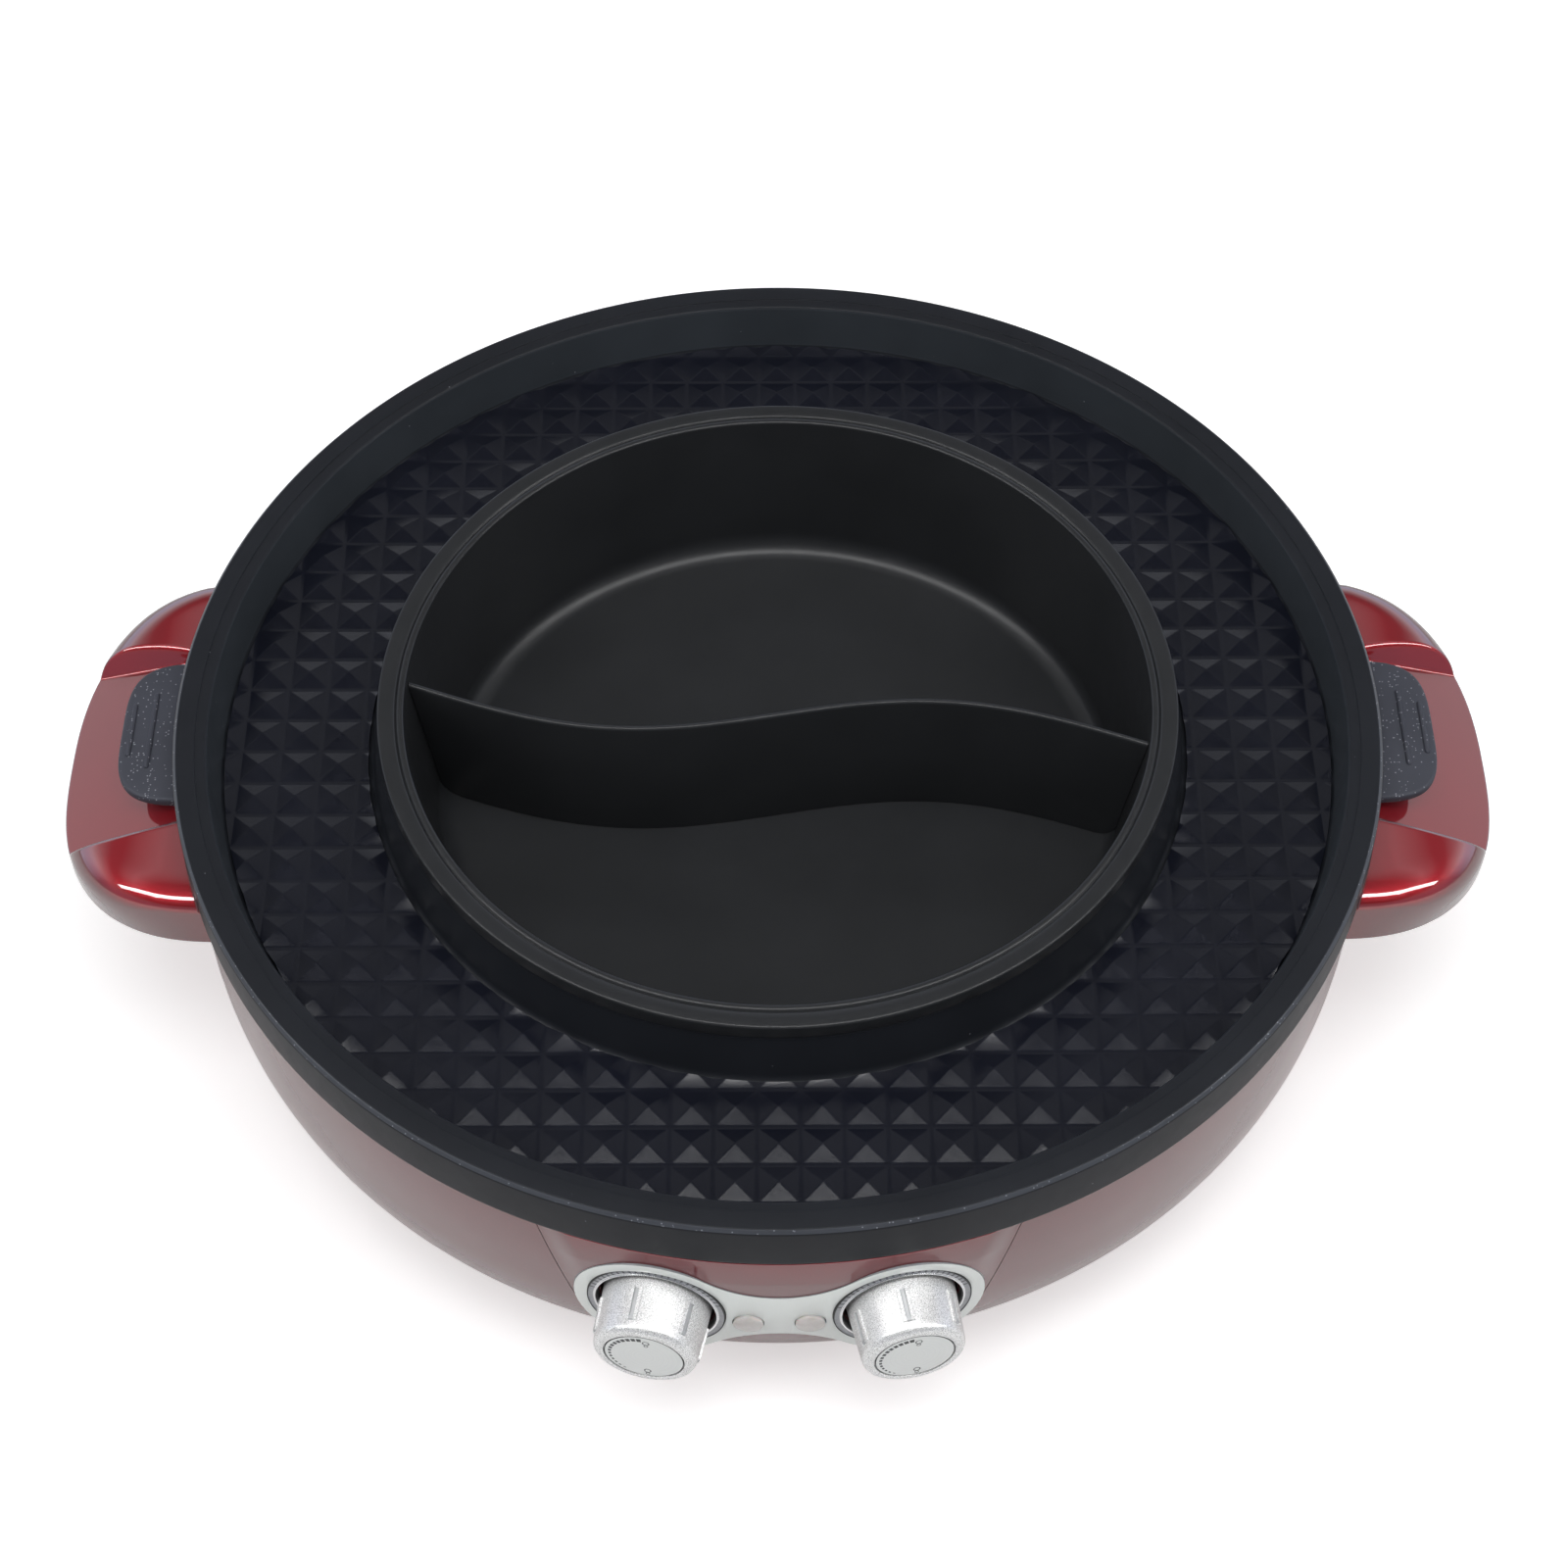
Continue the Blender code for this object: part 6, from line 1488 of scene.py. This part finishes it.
def finish_carried_nodes():
    finishes = (
        ("grill_element", "element"), ("pot_element", "element"), ("plate_sensor", "sensor"),
        ("base_cover", "black"), ("power_inlet", "black"), ("terminal_block", "ceramic"),
        ("control_bracket", "zinc"), ("element_saddle", "ceramic"), ("plate_post", "zinc"),
        ("rubber_foot", "rubber"), ("cover_screw", "zinc"), ("bracket_screw", "zinc"),
        ("handle_screw", "zinc"), ("inlet_pin", "brass"), ("knob_shaft", "brass"),
        ("thermostat_nut", "brass"), ("thermostat", "zinc"), ("wire_", "wire"),
        ("indicator_lamp", "lamp"))
    for name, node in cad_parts.items():
        chosen = [finish for start, finish in finishes if name.startswith(start)][:1]
        for finish in chosen:
            for place in node.material_slots:
                place.material = MATERIALS[finish]


# Studio

def make_camera():
    data = bpy.data.cameras.new("photo_camera")
    data.sensor_width = SENSOR_MM
    data.lens = data.sensor_width * FOCAL_PIXELS / PICTURE_PIXELS
    made = bpy.data.objects.new("photo_camera", data)
    bpy.context.scene.collection.objects.link(made)
    made.location = (0, AXIS_Y - CAMERA_DISTANCE * cos(CAMERA_ELEVATION),
                     PAN_RIM_Z + CAMERA_DISTANCE * sin(CAMERA_ELEVATION))
    made.rotation_euler = (pi / 2 - CAMERA_ELEVATION - CAMERA_TILT, 0, -CAMERA_YAW)
    bpy.context.scene.camera = made


def area_light(name, place, size, power, seen=True):
    data = bpy.data.lights.new(name, "AREA")
    data.shape = "RECTANGLE"
    data.size, data.size_y = size
    data.energy = power
    made = bpy.data.objects.new(name, data)
    bpy.context.scene.collection.objects.link(made)
    made.location = place
    target = Vector((0, 0, LIP_Z))
    made.rotation_euler = (target - Vector(place)).to_track_quat("-Z", "Y").to_euler()
    made.visible_glossy = seen
    return made


def make_lights():
    area_light("key_top", KEY_PLACE, KEY_SIZE, KEY_POWER, False)
    strip = area_light("ridge_strip", STRIP_PLACE, STRIP_SIZE, STRIP_POWER)
    strip.visible_diffuse = False
    for name, sign in (("left_box", -1), ("right_box", 1)):
        area_light(name, (sign * SIDE_ASIDE, -SIDE_FRONT, SIDE_HEIGHT), SIDE_SIZE, SIDE_POWER, False)


def make_world():
    # White where the camera looks, soft grey for light, bright low walls for reflections
    world = bpy.data.worlds.new("studio_world")
    bpy.context.scene.world = world
    world.use_nodes = True
    world.node_tree.nodes.clear()
    tree = Nodes(world.node_tree)
    path = tree.node("ShaderNodeLightPath")
    parts = tree.node("ShaderNodeSeparateXYZ")
    tree.link(tree.node("ShaderNodeTexCoord").outputs["Generated"], parts.inputs["Vector"])
    rise = tree.grey_ramp(parts.outputs["Z"], (
        (0.0, 1.0), (0.35, 1.0), (0.48, 0.46), (0.59, 0.07), (0.65, 0.07), (0.78, 0.4), (0.88, 0.06)))
    back = tree.grey_ramp(parts.outputs["Y"], ((0.0, 0.25), (0.35, 1.0)))
    glossy = tree.node("ShaderNodeBackground")
    tree.link(tree.ramp(parts.outputs["Z"], ((0.25, (0.72, 0.8, 1)), (0.42, (0.96, 0.97, 1)))),
              glossy.inputs["Color"])
    wall = tree.math("MULTIPLY", rise, back)
    tree.link(tree.math("MULTIPLY", wall, SKY_STRENGTH), glossy.inputs["Strength"])
    soft = tree.node("ShaderNodeBackground", Color=(0.98, 0.99, 1, 1), Strength=SOFT_STRENGTH)
    white = tree.node("ShaderNodeBackground", Color=(1, 1, 1, 1))
    first = tree.node("ShaderNodeMixShader")
    tree.link(path.outputs["Is Glossy Ray"], first.inputs["Fac"])
    tree.link(soft.outputs[0], first.inputs[1])
    tree.link(glossy.outputs[0], first.inputs[2])
    second = tree.node("ShaderNodeMixShader")
    tree.link(tree.math("MAXIMUM", path.outputs["Is Camera Ray"],
                        path.outputs["Is Transmission Ray"]), second.inputs["Fac"])
    tree.link(first.outputs[0], second.inputs[1])
    tree.link(white.outputs[0], second.inputs[2])
    output = tree.node("ShaderNodeOutputWorld")
    tree.link(second.outputs[0], output.inputs["Surface"])


def make_stage():
    data = bmesh.new()
    corners = [data.verts.new((x * FLOOR_SIZE, y * FLOOR_SIZE, 0)) for x, y in
               ((-1, -1), (1, -1), (1, 1), (-1, 1))]
    data.faces.new(corners)
    floor = add("studio_floor", data, Matrix.Identity(4))
    material = bpy.data.materials.new("studio_floor_white")
    material.use_nodes = True
    material.node_tree.nodes.clear()
    tree = Nodes(material.node_tree)
    path = tree.node("ShaderNodeLightPath")
    bounce = tree.math("SUBTRACT", FLOOR_ALBEDO, tree.math(
        "MULTIPLY", path.outputs["Is Diffuse Ray"], FLOOR_BOUNCE_LOSS))
    shade = tree.node("ShaderNodeCombineColor")
    for channel in ("Red", "Green", "Blue"):
        tree.link(bounce, shade.inputs[channel])
    diffuse = tree.node("ShaderNodeBsdfDiffuse")
    tree.link(shade.outputs["Color"], diffuse.inputs["Color"])
    place = tree.node("ShaderNodeTexCoord").outputs["Object"]
    distance = tree.tree.nodes.new("ShaderNodeVectorMath")
    distance.operation = "LENGTH"
    tree.link(place, distance.inputs[0])
    away = tree.spread(tree.math("SUBTRACT", distance.outputs["Value"], WHITE_FROM), 0.0, 1.0)
    glow = tree.node("ShaderNodeEmission")
    strength = tree.math("ADD", FLOOR_GLOW, tree.math("MULTIPLY", away, FLOOR_FAR_GLOW))
    tree.link(tree.math("MULTIPLY", path.outputs["Is Camera Ray"], strength),
              glow.inputs["Strength"])
    both = tree.node("ShaderNodeAddShader")
    tree.link(diffuse.outputs[0], both.inputs[0])
    tree.link(glow.outputs[0], both.inputs[1])
    output = tree.node("ShaderNodeOutputMaterial")
    tree.link(both.outputs[0], output.inputs["Surface"])
    floor.data.materials.append(material)


make_housing()
make_fascia()
make_trim()
make_controls()
make_handles()
make_pan()
make_pot()
make_shield()
make_plate()
finish_carried_nodes()
make_stage()
make_lights()
make_world()
make_camera()
bpy.context.scene.view_settings.view_transform = "Standard"
